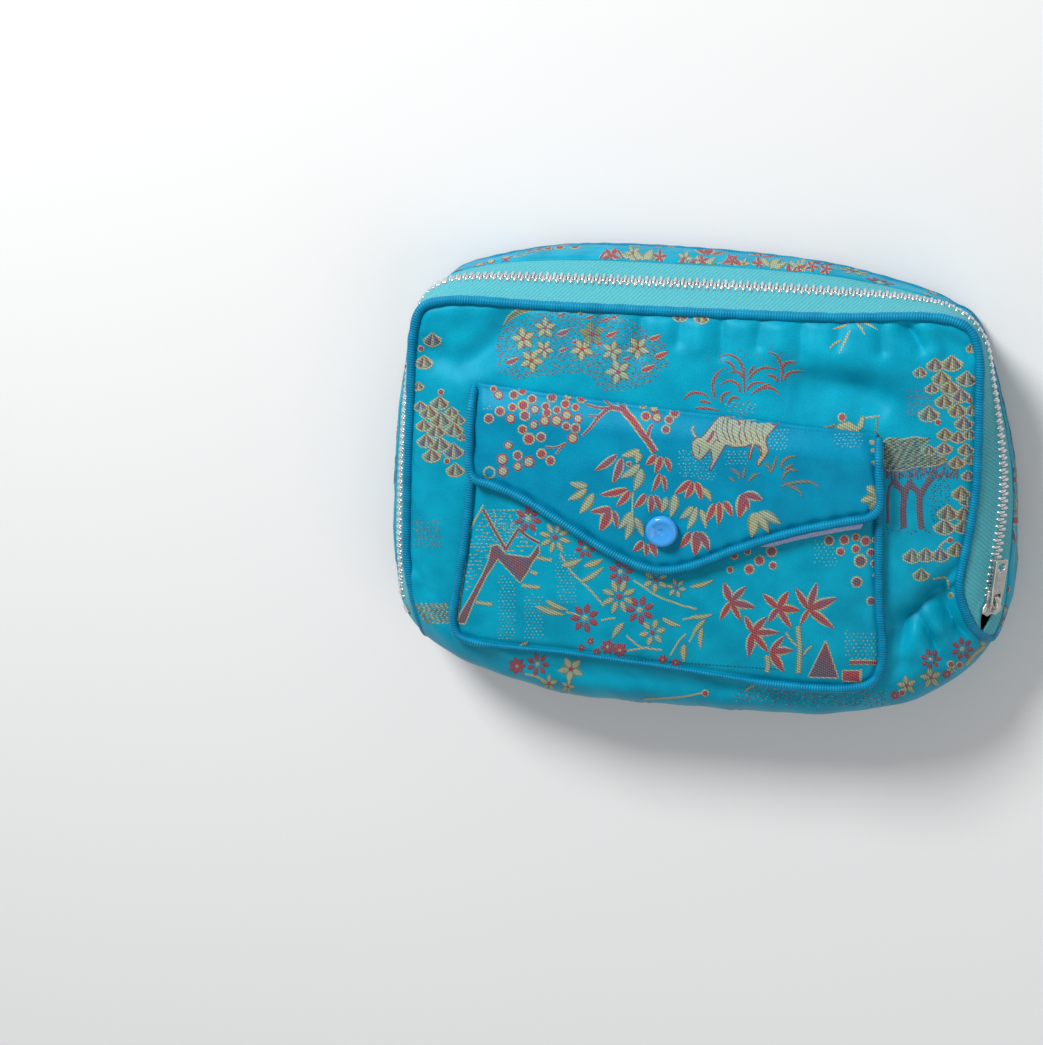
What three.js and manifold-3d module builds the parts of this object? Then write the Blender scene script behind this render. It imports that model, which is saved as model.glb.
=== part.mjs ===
// A brocade zip purse that lies on its back: millimetres, X to the right, Y towards the zipped top,
// Z up out of the front panel. The origin is on the surface that the flat back rests on.
import * as THREE from "three";
import { mergeVertices } from "three/addons/utils/BufferGeometryUtils.js";
import Module from "manifold-3d";

const wasm = await Module();
wasm.setup();

// Driving dimensions of the purse.
const panelWidth = 168; // front panel from side seam to side seam
const panelHeight = 114; // front panel from the bottom roll to the top seam
const seamHeight = 31; // front seam above the resting surface
const backSeamHeight = 3; // back seam above the resting surface
const crownHeight = 8; // how far the filled front panel stands above its seam
const bodyWall = 1.5;
const stripWall = 1.2;
const tapeWall = 1.0;
const pocketWall = 1.2;
const liningWall = 1.0;
const flapWall = 1.2;

// Pipings, and the room between pieces.
const edgePipingRadius = 1.4;
const trimPipingRadius = 1.3;
const pieceGap = 0.3;
const seamGap = 0.6; // between a piping and the cloth that is sewn to it

// Zip.
const tapeShowing = 6; // width of tape on each side of the chain
const chainWidth = 4.5;
const toothPitch = 2.1;
const toothThickness = 2;
const gussetEndLength = 18; // how far the gusset's rounded end reaches past its straight edge
const sliderSetBack = 7; // slider's centre past the start of the rounded end

// Front pocket, its flap and its press stud.
const pocketWidth = 125;
const pocketHeight = 70;
const flapLength = 52; // from the fold to the lowest point of the wave
const flapTilt = -0.07; // slope of the fold line, which drops to the right
const foldAbovePocket = 18; // fold line above the pocket's mouth at the pocket's middle
const snapDiameter = 9.5;
const snapHeight = 2.2;
const studDiameter = 3.6;

// Slider and pull tab.
const sliderLength = 8.5;
const sliderWidth = 7.4;
const sliderPlate = 1;
const sliderRoom = 0.8; // between the tape and the slider's plates
const postWidth = 3.2;
const crownLength = 5.6;
const crownRise = 2.5; // outer height of the crown above the slider's plate
const crownWidth = 1.5;
const crownThickness = 0.8;
const crownSink = 0.05; // how deep the crown's feet sit in the plate
const tabLength = 14.5;
const tabWidth = 4.6;
const tabThickness = 1;
const tabBarLength = 1;
const tabSlotReach = 3.3; // from the hinge bar's centre to the far end of the slot
const tabSlotWidth = 2.5;
const tabWindowWidth = 2.6;
const tabWindowWall = 1; // between the window and the tab's free end
const tabCorner = 1;
const tabNeck = 0.8; // width at the hinge, as a share of the tab's
const tabShoulder = 1.2; // past the slot, where the tab has its full width
const stopLength = 2.5; // clamp at the hidden end of the chain

const degree = Math.PI / 180;
const seamRoom = edgePipingRadius + seamGap;
const trimRoom = trimPipingRadius + pieceGap;

// Stations round the purse, counter-clockwise from the middle of the bottom. x and y place the front
// seam, in shares of the panel's width and height. outset is how far the back seam lies outside the
// front seam, and fullness how far the side's curve swells, both in shares of the purse's depth.
// frontAngle and backAngle are the side's slopes below the level at its two ends, in degrees.
const stationColumns = ["x", "y", "outset", "frontAngle", "backAngle", "fullness"];
const stations = [
  [-0.03, -0.474, 0.22, 11, 50, 0.62], // bottom middle
  [0.25, -0.474, 0.21, 12, 50, 0.57],
  [0.38, -0.434, 0.24, 14, 55, 0.51],
  [0.443, -0.355, 0.36, 18, 60, 0.5], // bottom right corner
  [0.464, -0.27, 0.48, 16, 68, 0.5],
  [0.471, -0.158, 0.53, 14, 78, 0.47], // right end of the gusset
  [0.487, 0.07, 0.37, 28, 86, 0.44],
  [0.483, 0.316, 0.13, 60, 88, 0.42],
  [0.476, 0.447, -0.02, 75, 88, 0.42],
  [0.458, 0.503, -0.1, 85, 88, 0.42], // top right corner
  [0.42, 0.525, -0.08, 75, 88, 0.42],
  [0.226, 0.515, 0.27, 60, 82, 0.42],
  [-0.03, 0.511, 0.4, 56, 80, 0.42], // top middle
  [-0.268, 0.51, 0.37, 56, 80, 0.42],
  [-0.443, 0.51, 0.1, 62, 85, 0.42],
  [-0.484, 0.489, -0.04, 75, 88, 0.42], // top left corner
  [-0.5, 0.425, 0.07, 80, 88, 0.42],
  [-0.508, 0.237, 0.25, 78, 88, 0.42],
  [-0.518, -0.044, 0.3, 75, 86, 0.42],
  [-0.517, -0.254, 0.28, 70, 80, 0.45], // left end of the gusset
  [-0.496, -0.34, 0.26, 42, 68, 0.48],
  [-0.443, -0.4, 0.24, 22, 60, 0.47], // bottom left corner
  [-0.356, -0.441, 0.22, 14, 52, 0.52],
  [-0.208, -0.468, 0.24, 11, 50, 0.61],
];
const bottomRightCorner = 3 / stations.length;
const rightGussetEnd = 5 / stations.length;
const topRightCorner = 9 / stations.length;
const topLeftCorner = 15 / stations.length;
const leftGussetEnd = 19 / stations.length;
const bottomLeftCorner = 21 / stations.length;

// Folds and dents of the front: a valley or ridge along a line from one end to the other, in shares of
// the panel's width and height, with its reach across and its depth in shares of the crown's height.
const foldColumns = ["fromX", "fromY", "toX", "toY", "reach", "depth"];
const folds = [
  [-0.46, 0.37, -0.335, 0.46, 0.75, -0.3], // valley across the top left corner
  [0.16, 0.375, 0.32, 0.325, 0.95, -0.16], // wide dent above the flap
  [0.355, 0.495, 0.46, 0.45, 0.5, -0.2], // hollow below the top right seam
  [0.465, -0.155, 0.365, -0.29, 0.55, -0.3], // gather that starts at the right end of the gusset
  [0.405, -0.235, 0.38, -0.36, 0.4, 0.2],
  [0.44, -0.225, 0.5, -0.34, 0.5, -0.24],
  [-0.36, -0.475, 0.29, -0.5, 0.6, -0.14], // dip along the bottom of the pocket
];

// Outline of the pocket along the middle of its piping, from its mouth at the left round the bottom to
// its mouth at the right, in shares of the pocket's width and height from the pocket's middle.
const pocketColumns = ["x", "y"];
const pocketRows = [
  [-0.468, 0.486],
  [-0.492, 0.057],
  [-0.519, -0.229],
  [-0.527, -0.335],
  [-0.515, -0.41], // bottom left corner
  [-0.467, -0.437],
  [-0.256, -0.443],
  [-0.024, -0.47],
  [0.276, -0.519],
  [0.44, -0.514],
  [0.494, -0.477], // bottom right corner
  [0.513, -0.38],
  [0.498, -0.071],
  [0.485, 0.4],
];
const pocketLeftCorner = 4 / (pocketRows.length - 1);
const pocketRightCorner = 10 / (pocketRows.length - 1);
const pocketMiddleX = -0.036; // share of the panel's width
const pocketMiddleY = -0.149; // share of the panel's height
const pocketMouth = 0.443; // share of the pocket's height, at the pocket's middle

// Outline of the flap along the middle of its piping, from the left end of the fold round the wave to
// the right end. x is a share of the pocket's width, drop a share of the flap's length below the fold.
const flapColumns = ["x", "drop"];
const flapRows = [
  [-0.469, 0.03],
  [-0.474, 0.3],
  [-0.475, 0.49],
  [-0.462, 0.56], // lower left corner
  [-0.416, 0.58],
  [-0.344, 0.628],
  [-0.248, 0.735],
  [-0.152, 0.85],
  [-0.06, 0.93],
  [-0.008, 0.94], // tip of the wave
  [0.056, 0.895],
  [0.172, 0.745],
  [0.308, 0.6],
  [0.42, 0.512],
  [0.466, 0.478],
  [0.488, 0.415], // lower right corner
  [0.484, 0.237],
  [0.477, 0.03],
];
const flapLeftCorner = 3 / (flapRows.length - 1);
const flapRightCorner = 15 / (flapRows.length - 1);
const snapShareX = -0.009; // snap's centre, in shares as the flap's outline
const snapShareDrop = 0.698;

// One row of a table as an object with the table's columns as keys.
function named(columns, row) {
  return Object.fromEntries(columns.map((column, i) => [column, row[i]]));
}

const wrap = (t) => ((t % 1) + 1) % 1;
const mix = (a, b, share) => a + (b - a) * share;
const smooth = (share) => {
  const s = THREE.MathUtils.clamp(share, 0, 1);
  return s * s * (3 - 2 * s);
};

// A column of the stations table at t, which runs from 0 to 1 round the purse.
function stationValue(column, t) {
  const place = wrap(t) * stations.length;
  const row = Math.floor(place);
  const key = stationColumns.indexOf(column);
  const [a, b, c, d] = [-1, 0, 1, 2].map(
    (step) => stations[(row + step + stations.length) % stations.length][key],
  );
  const s = place - row;
  return b + 0.5 * s * (c - a + s * (2 * a - 5 * b + 4 * c - d + s * (3 * (b - c) + d - a)));
}

const depth = seamHeight - backSeamHeight;
const panelMiddleX = -0.0155 * panelWidth;
const panelMiddleY = 0.01 * panelHeight;
const crownFullest = -0.25; // fullest line of the crown, in shares of the way from the middle to the top
const crownSides = 1.05; // how far the crown's shape holds, in shares of the half panel
const crownBelow = -1.3;

// Height of the front panel's middle surface over a place in plan, without its folds.
function frontHeight(x, y) {
  const across = Math.min(Math.abs((x - panelMiddleX) / (panelWidth / 2)), crownSides);
  const level = (y - panelMiddleY) / (panelHeight / 2);
  const past = THREE.MathUtils.clamp(level, crownBelow, crownSides) - crownFullest;
  const upFill =
    past > 0 ? 1 - (past / (1 - crownFullest)) ** 3 : 1 - 0.5 * (past / (1 + crownFullest)) ** 2;
  return seamHeight + crownHeight * (1 - across ** 3) * upFill;
}

// How far the folds lift or sink the front at a place in plan.
function foldHeight(x, y) {
  let height = 0;
  for (const row of folds) {
    const fold = named(foldColumns, row);
    const from = new THREE.Vector2(fold.fromX * panelWidth, fold.fromY * panelHeight);
    const along = new THREE.Vector2(fold.toX * panelWidth, fold.toY * panelHeight).sub(from);
    const place = new THREE.Vector2(x, y).sub(from);
    const share = THREE.MathUtils.clamp(place.dot(along) / along.lengthSq(), 0, 1);
    const away = place.sub(along.multiplyScalar(share)).length() / (fold.reach * crownHeight);
    height += fold.depth * crownHeight * Math.exp(-away * away);
  }
  return height;
}

// Loop of the front seam in plan.
const seamCurve = new THREE.CatmullRomCurve3(
  stations.map(([x, y]) => new THREE.Vector3(x * panelWidth, y * panelHeight, 0)),
  true,
  "centripetal",
);

function frontSeam(t) {
  const point = seamCurve.getPoint(wrap(t));
  return point.setZ(frontHeight(point.x, point.y));
}

// Level direction that a line round the purse faces at t.
function facing(pointAt, t) {
  const step = 0.002;
  const along = pointAt(t + step).sub(pointAt(t - step));
  return new THREE.Vector3(along.y, -along.x, 0).normalize();
}

const outward = (t) => facing(frontSeam, t);

function backSeam(t) {
  const point = frontSeam(t).addScaledVector(outward(t), stationValue("outset", t) * depth);
  return point.setZ(backSeamHeight);
}

// The side of the purse at t: a curve from the front seam to the back seam, sampled at even steps.
const sideSteps = 20;
const knownSides = new Map();
function side(t) {
  const key = wrap(t).toFixed(7);
  if (knownSides.has(key)) return knownSides.get(key);
  const out = outward(t);
  const reach = stationValue("fullness", t) * depth;
  const from = frontSeam(t);
  const to = backSeam(t);
  const frontAngle = stationValue("frontAngle", t) * degree;
  const backAngle = stationValue("backAngle", t) * degree;
  const leave = out.clone().multiplyScalar(Math.cos(frontAngle)).setZ(-Math.sin(frontAngle));
  const arrive = out.clone().multiplyScalar(Math.cos(backAngle)).setZ(Math.sin(backAngle));
  const curve = new THREE.CubicBezierCurve3(
    from,
    from.clone().addScaledVector(leave, reach),
    to.clone().addScaledVector(arrive, reach),
    to,
  );
  const points = curve.getSpacedPoints(sideSteps);
  const made = { points, length: curve.getLength() };
  knownSides.set(key, made);
  return made;
}

// A place on the side, by its share of the way from the front seam to the back seam.
function sidePoint(t, share) {
  const { points } = side(t);
  const place = THREE.MathUtils.clamp(share, 0, 1) * sideSteps;
  const step = Math.min(Math.floor(place), sideSteps - 1);
  return points[step].clone().lerp(points[step + 1], place - step);
}

// A place on the gusset, by its distance from the front seam.
const gussetPoint = (t, distance) => sidePoint(t, distance / side(t).length);

function gussetNormal(t, distance) {
  const step = 0.002;
  const along = gussetPoint(t + step, distance).sub(gussetPoint(t - step, distance));
  const across = gussetPoint(t, distance + 1).sub(gussetPoint(t, distance - 1));
  return across.cross(along).normalize();
}

// The front seam pushed outwards, so that steps that are even along it crowd together in the corners.
const cornerSpread = 14;
const spreadSeam = (t) => frontSeam(t).addScaledVector(outward(t), cornerSpread);

// Values of t between two limits at which a line over the purse has evenly spaced points.
function evenSteps(pointAt, start, end, count) {
  const fine = 400;
  const lengths = [0];
  let last = pointAt(start);
  for (let i = 1; i <= fine; i++) {
    const next = pointAt(mix(start, end, i / fine));
    lengths.push(lengths[i - 1] + next.distanceTo(last));
    last = next;
  }
  return Array.from({ length: count + 1 }, (_, i) => {
    const wanted = (lengths[fine] * i) / count;
    const above = Math.max(1, lengths.findIndex((length) => length >= wanted - 1e-9));
    const part = (wanted - lengths[above - 1]) / (lengths[above] - lengths[above - 1]);
    return mix(start, end, (above - 1 + part) / fine);
  });
}

function lineLength(pointAt, start, end) {
  const steps = 400;
  let total = 0;
  for (let i = 0; i < steps; i++) {
    total += pointAt(mix(start, end, i / steps)).distanceTo(pointAt(mix(start, end, (i + 1) / steps)));
  }
  return total;
}

// The value of t that lies a distance along the front seam past one end of the gusset.
function pastEnd(end, distance) {
  const direction = end === rightGussetEnd ? -1 : 1;
  const sign = distance < 0 ? -direction : direction;
  let t = end;
  let left = Math.abs(distance);
  const step = 0.0004;
  while (left > 0) {
    const length = frontSeam(t).distanceTo(frontSeam(t + sign * step));
    t += sign * step * Math.min(1, left / length);
    left -= length;
  }
  return t;
}

// How far the gusset's rounded end reaches at a share of its width, on an outline that lies a
// clearance outside the middle of the piping, or inside it where the clearance is negative.
function endReach(end, share, clearance) {
  const half = side(end).length / 2;
  const level = ((share - 0.5) * 2 * half) / (half + clearance);
  return (gussetEndLength + clearance) * Math.sqrt(Math.max(0, 1 - level * level));
}

// A closed sheet of cloth: the middle surface's points and quads, thickened to both sides.
function sheet(points, quads, wall) {
  const normals = points.map(() => new THREE.Vector3());
  const faces = quads.flatMap(([a, b, c, d]) => [
    [a, b, c],
    [a, c, d],
  ]);
  for (const [a, b, c] of faces) {
    const normal = points[b].clone().sub(points[a]).cross(points[c].clone().sub(points[a]));
    for (const corner of [a, b, c]) normals[corner].add(normal);
  }
  const outer = points.map((p, i) => p.clone().addScaledVector(normals[i].normalize(), wall / 2));
  const inner = points.map((p, i) => p.clone().addScaledVector(normals[i], -wall / 2));
  const under = points.length;
  const triangles = faces.flatMap(([a, b, c]) => [
    [a, b, c],
    [under + a, under + c, under + b],
  ]);
  const edges = new Set(faces.flatMap(([a, b, c]) => [`${a},${b}`, `${b},${c}`, `${c},${a}`]));
  for (const edge of edges) {
    const [a, b] = edge.split(",").map(Number);
    if (edges.has(`${b},${a}`)) continue;
    triangles.push([b, a, under + a], [b, under + a, under + b]);
  }
  return solid([...outer, ...inner], triangles);
}

function solid(points, triangles) {
  const geometry = new THREE.BufferGeometry().setFromPoints(points);
  geometry.setIndex(triangles.flat());
  return geometry;
}

// Quads of a grid whose points are stored row after row.
function gridQuads(columns, rows) {
  const quads = [];
  for (let j = 0; j < rows; j++) {
    for (let i = 0; i < columns; i++) {
      const a = j * (columns + 1) + i;
      quads.push([a, a + 1, a + columns + 2, a + columns + 1]);
    }
  }
  return quads;
}

// Points inside four edges that meet at their ends: bottom and top run to the right, left and right up.
function fillEdges(bottom, right, top, left) {
  const columns = bottom.length - 1;
  const rows = left.length - 1;
  const points = [];
  for (let j = 0; j <= rows; j++) {
    const v = j / rows;
    for (let i = 0; i <= columns; i++) {
      const u = i / columns;
      const ruled = bottom[i].clone().lerp(top[i], v).add(left[j].clone().lerp(right[j], u));
      const corners = bottom[0]
        .clone()
        .lerp(bottom[columns], u)
        .lerp(top[0].clone().lerp(top[columns], u), v);
      points.push(ruled.sub(corners));
    }
  }
  return points;
}

// A round bead swept along a path, on a section of a few sides. uprights holds the direction that is
// up for the section at each point.
function bead(path, uprights, radius, sides, closed) {
  const count = path.length;
  const points = [];
  path.forEach((point, i) => {
    const before = closed ? path[(i + count - 1) % count] : path[Math.max(0, i - 1)];
    const after = closed ? path[(i + 1) % count] : path[Math.min(count - 1, i + 1)];
    const along = after.clone().sub(before).normalize();
    const up = uprights[i].clone().addScaledVector(along, -along.dot(uprights[i])).normalize();
    const across = along.clone().cross(up);
    for (let side = 0; side < sides; side++) {
      const angle = ((side + 0.5) * 2 * Math.PI) / sides;
      const lift = up.clone().multiplyScalar(Math.cos(angle));
      points.push(point.clone().addScaledVector(lift.addScaledVector(across, Math.sin(angle)), radius));
    }
  });
  const triangles = [];
  const spans = closed ? count : count - 1;
  for (let i = 0; i < spans; i++) {
    const here = i * sides;
    const next = ((i + 1) % count) * sides;
    for (let side = 0; side < sides; side++) {
      const turn = (side + 1) % sides;
      triangles.push([here + side, here + turn, next + turn], [here + side, next + turn, next + side]);
    }
  }
  if (!closed) {
    const last = (count - 1) * sides;
    for (let side = 1; side < sides - 1; side++) {
      triangles.push([0, side + 1, side], [last, last + side, last + side + 1]);
    }
  }
  return solid(points, triangles);
}

// Body: one piece of brocade that is the front panel, rolls round the bottom and becomes the back.
const bodyColumns = 21;
const bodyRows = 15;
const cornerCells = 3; // between a bottom corner and the gusset's end
const rollRows = 5;
const rollFold = 0.7; // share of the front's folds that runs on over the roll

function bodyRim() {
  const crossRight = pastEnd(rightGussetEnd, endReach(rightGussetEnd, 0, seamRoom));
  const crossLeft = pastEnd(leftGussetEnd, endReach(leftGussetEnd, 0, seamRoom));
  const parts = [
    evenSteps(spreadSeam, bottomLeftCorner - 1, bottomRightCorner, bodyColumns),
    evenSteps(spreadSeam, bottomRightCorner, crossRight, cornerCells),
    evenSteps(spreadSeam, crossRight, topRightCorner, bodyRows - cornerCells),
    evenSteps(spreadSeam, topRightCorner, topLeftCorner, bodyColumns),
    evenSteps(spreadSeam, topLeftCorner, crossLeft, bodyRows - cornerCells),
    evenSteps(spreadSeam, crossLeft, bottomLeftCorner, cornerCells),
  ];
  return { rim: parts.flatMap((part) => part.slice(0, -1)), crossRight, crossLeft };
}

// How far the body's edge keeps inside the seam line at t, so that the piping has room.
function rimInset(t, crossRight, crossLeft) {
  if (t <= crossRight + 1e-9 || t >= crossLeft - 1e-9) return 0;
  const end = t < 0.5 ? rightGussetEnd : leftGussetEnd;
  const past = end === rightGussetEnd ? end - t : t - end;
  if (past <= 0) return seamRoom;
  const reach = lineLength(frontSeam, Math.min(t, end), Math.max(t, end));
  const half = side(end).length / 2;
  const level = reach / (gussetEndLength + seamRoom);
  return (half + seamRoom) * Math.sqrt(Math.max(0, 1 - level * level)) - half;
}

function bodyShell() {
  const { rim, crossRight, crossLeft } = bodyRim();
  const count = rim.length;
  const insets = rim.map((t) => rimInset(t, crossRight, crossLeft));
  const frontEdge = rim.map((t, k) => {
    const point = frontSeam(t).addScaledVector(outward(t), -insets[k]);
    return point.setZ(frontHeight(point.x, point.y));
  });
  const backEdge = rim.map((t, k) => backSeam(t).addScaledVector(facing(backSeam, t), -insets[k]));

  const edgesOf = (loop) => {
    const at = (k) => loop[k % count].clone();
    const range = (start, steps) => Array.from({ length: steps + 1 }, (_, i) => at(start + i));
    return [
      range(0, bodyColumns),
      range(bodyColumns, bodyRows),
      range(bodyColumns + bodyRows, bodyColumns).reverse(),
      range(2 * bodyColumns + bodyRows, bodyRows).reverse(),
    ];
  };
  const rimIndex = Array.from({ length: count }, (_, k) => {
    if (k <= bodyColumns) return k;
    if (k <= bodyColumns + bodyRows) return (k - bodyColumns) * (bodyColumns + 1) + bodyColumns;
    if (k <= 2 * bodyColumns + bodyRows) {
      return bodyRows * (bodyColumns + 1) + 2 * bodyColumns + bodyRows - k;
    }
    return (count - k) * (bodyColumns + 1);
  });

  const front = fillEdges(...edgesOf(frontEdge));
  const seam = new Set(rimIndex.filter((_, k) => insets[k] > 0));
  front.forEach((point, i) => {
    const fold = seam.has(i) ? 0 : foldHeight(point.x, point.y);
    point.setZ(frontHeight(point.x, point.y) + fold);
  });
  const back = fillEdges(...edgesOf(backEdge));
  const backRim = new Set(rimIndex);
  back.forEach((point, i) => point.setZ(backRim.has(i) ? backSeamHeight : bodyWall / 2));

  const points = [...front, ...back];
  const backStart = front.length;
  const quads = gridQuads(bodyColumns, bodyRows);
  const backQuads = quads.map((quad) => quad.map((i) => i + backStart).reverse());

  // The roll round the bottom, between the two rounded ends of the gusset.
  const rollColumns = [];
  for (let k = count - cornerCells; k <= count + bodyColumns + cornerCells; k++) rollColumns.push(k);
  const place = (k) => (k < count ? rim[k] - 1 : rim[k - count]);
  const first = place(rollColumns[0]);
  const last = place(rollColumns[rollColumns.length - 1]);
  const rows = [rollColumns.map((k) => rimIndex[k % count])];
  for (let j = 1; j < rollRows; j++) {
    const share = j / rollRows;
    const rowFirst = pastEnd(leftGussetEnd, endReach(leftGussetEnd, share, seamRoom)) - 1;
    const rowLast = pastEnd(rightGussetEnd, endReach(rightGussetEnd, share, seamRoom));
    rows.push(
      rollColumns.map((k) => {
        const t = mix(rowFirst, rowLast, (place(k) - first) / (last - first));
        const point = sidePoint(t, share);
        const fade = smooth((point.z - backSeamHeight) / depth);
        points.push(point.addScaledVector(outward(t), foldHeight(point.x, point.y) * fade * rollFold));
        return points.length - 1;
      }),
    );
  }
  rows.push(rollColumns.map((k) => rimIndex[k % count] + backStart));
  const rollQuads = [];
  for (let j = 0; j < rollRows; j++) {
    for (let i = 0; i + 1 < rollColumns.length; i++) {
      rollQuads.push([rows[j][i], rows[j + 1][i], rows[j + 1][i + 1], rows[j][i + 1]]);
    }
  }
  return sheet(points, [...quads, ...backQuads, ...rollQuads], bodyWall);
}

// Zip and gusset: lines at set distances from the front seam, all the way round three sides.
const chainMiddle = seamRoom + tapeShowing + chainWidth / 2;
const frontTapeEdge = chainMiddle - chainWidth / 2 - pieceGap;
const backTapeEdge = chainMiddle + chainWidth / 2 + pieceGap;
const backTapeEnd = backTapeEdge + tapeShowing;
const stripStart = backTapeEnd + pieceGap;
const chainLine = (t) => gussetPoint(t, chainMiddle);

const teethPerCell = 3;
const toothRoot = toothPitch * 0.55; // distance of the gaps between teeth from the chain's middle
const toothTip = -toothPitch * 0.12; // the tips reach past the middle, between those of the other row
const straightEnd = 6; // the rounding of the pieces' ends starts this far before the gusset's own
const chainStart = pastEnd(rightGussetEnd, sliderSetBack - sliderLength / 2 - pieceGap);
const chainEnd = pastEnd(leftGussetEnd, gussetEndLength / 2);
const combCells = Math.round(
  lineLength(chainLine, chainStart, chainEnd) / (teethPerCell * toothPitch),
);
const cellFirst = pastEnd(rightGussetEnd, -straightEnd);
const cellLast = pastEnd(leftGussetEnd, -straightEnd);
const cellLength = teethPerCell * toothPitch;
const cellCount = Math.round(lineLength(chainLine, cellFirst, cellLast) / cellLength);
const cells = evenSteps(chainLine, cellFirst, cellLast, cellCount);
const endCells = 3;

// A band of the gusset between two distances from the front seam. Its ends follow the rounded end.
function gussetBand(innerEdge, outerEdge, bandRows, wall) {
  const points = [];
  for (let j = 0; j <= bandRows; j++) {
    const share = j / bandRows;
    const at = (t) => mix(innerEdge(t), outerEdge(t), share);
    const toEnd = (end, limit) => {
      const distance = at(end) / side(end).length;
      const tip = pastEnd(end, endReach(end, distance, -seamRoom));
      return Array.from({ length: endCells }, (_, i) => mix(tip, limit, i / endCells));
    };
    const row = [
      ...toEnd(rightGussetEnd, cellFirst),
      ...cells,
      ...toEnd(leftGussetEnd, cellLast).reverse(),
    ];
    for (const t of row) points.push(gussetPoint(t, at(t)));
  }
  const columns = cells.length - 1 + 2 * endCells;
  const quads = gridQuads(columns, bandRows).map((quad) => quad.reverse());
  return sheet(points, quads, wall);
}

const fixed = (distance) => () => distance;
const stripEnd = (t) => side(t).length - seamRoom;

// A row of teeth: a zigzag comb on a narrow spine that follows the chain. rowSide is -1 for the front.
function toothComb(rowSide) {
  const perCell = 2 * teethPerCell;
  const halves = evenSteps(chainLine, chainStart, chainEnd, combCells * perCell);
  const offset = rowSide > 0 ? 0 : 1;
  const zigzag = halves.map((t, i) => [t, (i + offset) % 2 ? toothRoot : toothTip]);
  const spine = halves.filter((_, i) => i % perCell === 0).map((t) => [t, chainWidth / 2]);
  const outline = [...zigzag, ...spine.reverse()];
  const count = outline.length;
  const faces = [];
  for (let cell = 0; cell < combCells; cell++) {
    const here = count - 1 - cell;
    const next = here - 1;
    const middle = cell * perCell + teethPerCell;
    for (let i = cell * perCell; i < (cell + 1) * perCell; i++) {
      faces.push([i, i + 1, i < middle ? here : next]);
    }
    faces.push([middle, next, here]);
  }
  const at = ([t, across], lift) => {
    const distance = chainMiddle + rowSide * across;
    return gussetPoint(t, distance).addScaledVector(gussetNormal(t, distance), lift);
  };
  const points = [
    ...outline.map((row) => at(row, toothThickness / 2)),
    ...outline.map((row) => at(row, -toothThickness / 2)),
  ];
  const triangles = faces.flatMap(([a, b, c]) => [
    [a, b, c],
    [count + a, count + c, count + b],
  ]);
  for (let i = 0; i < count; i++) {
    const next = (i + 1) % count;
    triangles.push([next, i, count + i], [next, count + i, count + next]);
  }
  if (rowSide > 0) triangles.forEach((corners) => corners.reverse());
  return solid(points, triangles);
}

// Piping round the whole gusset: along the front seam, round one end, along the back seam, round the other.
function edgePiping() {
  const endSteps = 7;
  const between = bodyRim().rim.filter((t) => t > rightGussetEnd + 0.01 && t < leftGussetEnd - 0.01);
  const along = [rightGussetEnd, ...between, leftGussetEnd];
  const path = [];
  const uprights = [];
  const add = (t, share) => {
    path.push(sidePoint(t, share));
    uprights.push(gussetNormal(t, share * side(t).length));
  };
  const roundEnd = (end, forwards) => {
    for (let i = 1; i < endSteps; i++) {
      const angle = (Math.PI * (forwards ? i : endSteps - i)) / endSteps;
      add(pastEnd(end, gussetEndLength * Math.sin(angle)), (1 - Math.cos(angle)) / 2);
    }
  };
  for (const t of along) add(t, 0);
  roundEnd(leftGussetEnd, true);
  for (const t of along.slice().reverse()) add(t, 1);
  roundEnd(rightGussetEnd, false);
  return bead(path, uprights, edgePipingRadius, 6, true);
}

// Pocket and flap: stacked sheets that follow the filled front panel.
const pocketX = pocketMiddleX * panelWidth;
const pocketY = pocketMiddleY * panelHeight;
const foldLine = (x) =>
  pocketY + pocketMouth * pocketHeight + foldAbovePocket + flapTilt * (x - pocketX);
const pocketLift = bodyWall / 2 + pieceGap + pocketWall / 2;
const liningLift = pocketLift + pocketWall / 2 + pieceGap + liningWall / 2;
const flapLift = liningLift + liningWall / 2 + pieceGap + flapWall / 2;
const foldLift = bodyWall / 2 + pieceGap + flapWall / 2;
const up = new THREE.Vector3(0, 0, 1);

const pocketCurve = new THREE.CatmullRomCurve3(
  pocketRows.map((row) => {
    const { x, y } = named(pocketColumns, row);
    return new THREE.Vector3(pocketX + x * pocketWidth, pocketY + y * pocketHeight, 0);
  }),
  false,
  "centripetal",
);

const flapCurve = new THREE.CatmullRomCurve3(
  flapRows.map((row) => {
    const { x, drop } = named(flapColumns, row);
    const place = pocketX + x * pocketWidth;
    return new THREE.Vector3(place, foldLine(place) - drop * flapLength, 0);
  }),
  false,
  "centripetal",
);

// A point of an outline moved to its left, which is into the cloth.
function insetPoint(curve, t, inset) {
  const along = curve.getTangent(t);
  const inwards = new THREE.Vector3(-along.y, along.x, 0).normalize();
  return curve.getPoint(t).addScaledVector(inwards, inset);
}

// Steps along part of an outline that crowd together in its corners.
const trimSpread = 8;
const outlineSteps = (curve, start, end, count) =>
  evenSteps((t) => insetPoint(curve, t, -trimSpread), start, end, count);

const insetLine = (curve, start, end, count, inset) =>
  outlineSteps(curve, start, end, count).map((t) => insetPoint(curve, t, inset));

// Fills the cloth between an outline that runs down, across and up again and a straight top edge.
function outlineGrid(curve, leftCorner, rightCorner, columns, rows, inset) {
  const left = insetLine(curve, 0, leftCorner, rows, inset).reverse();
  const bottom = insetLine(curve, leftCorner, rightCorner, columns, inset);
  const right = insetLine(curve, rightCorner, 1, rows, inset);
  const start = left[rows];
  const end = right[rows];
  const top = bottom.map((_, i) => start.clone().lerp(end, i / columns));
  return fillEdges(bottom, right, top, left);
}

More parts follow.
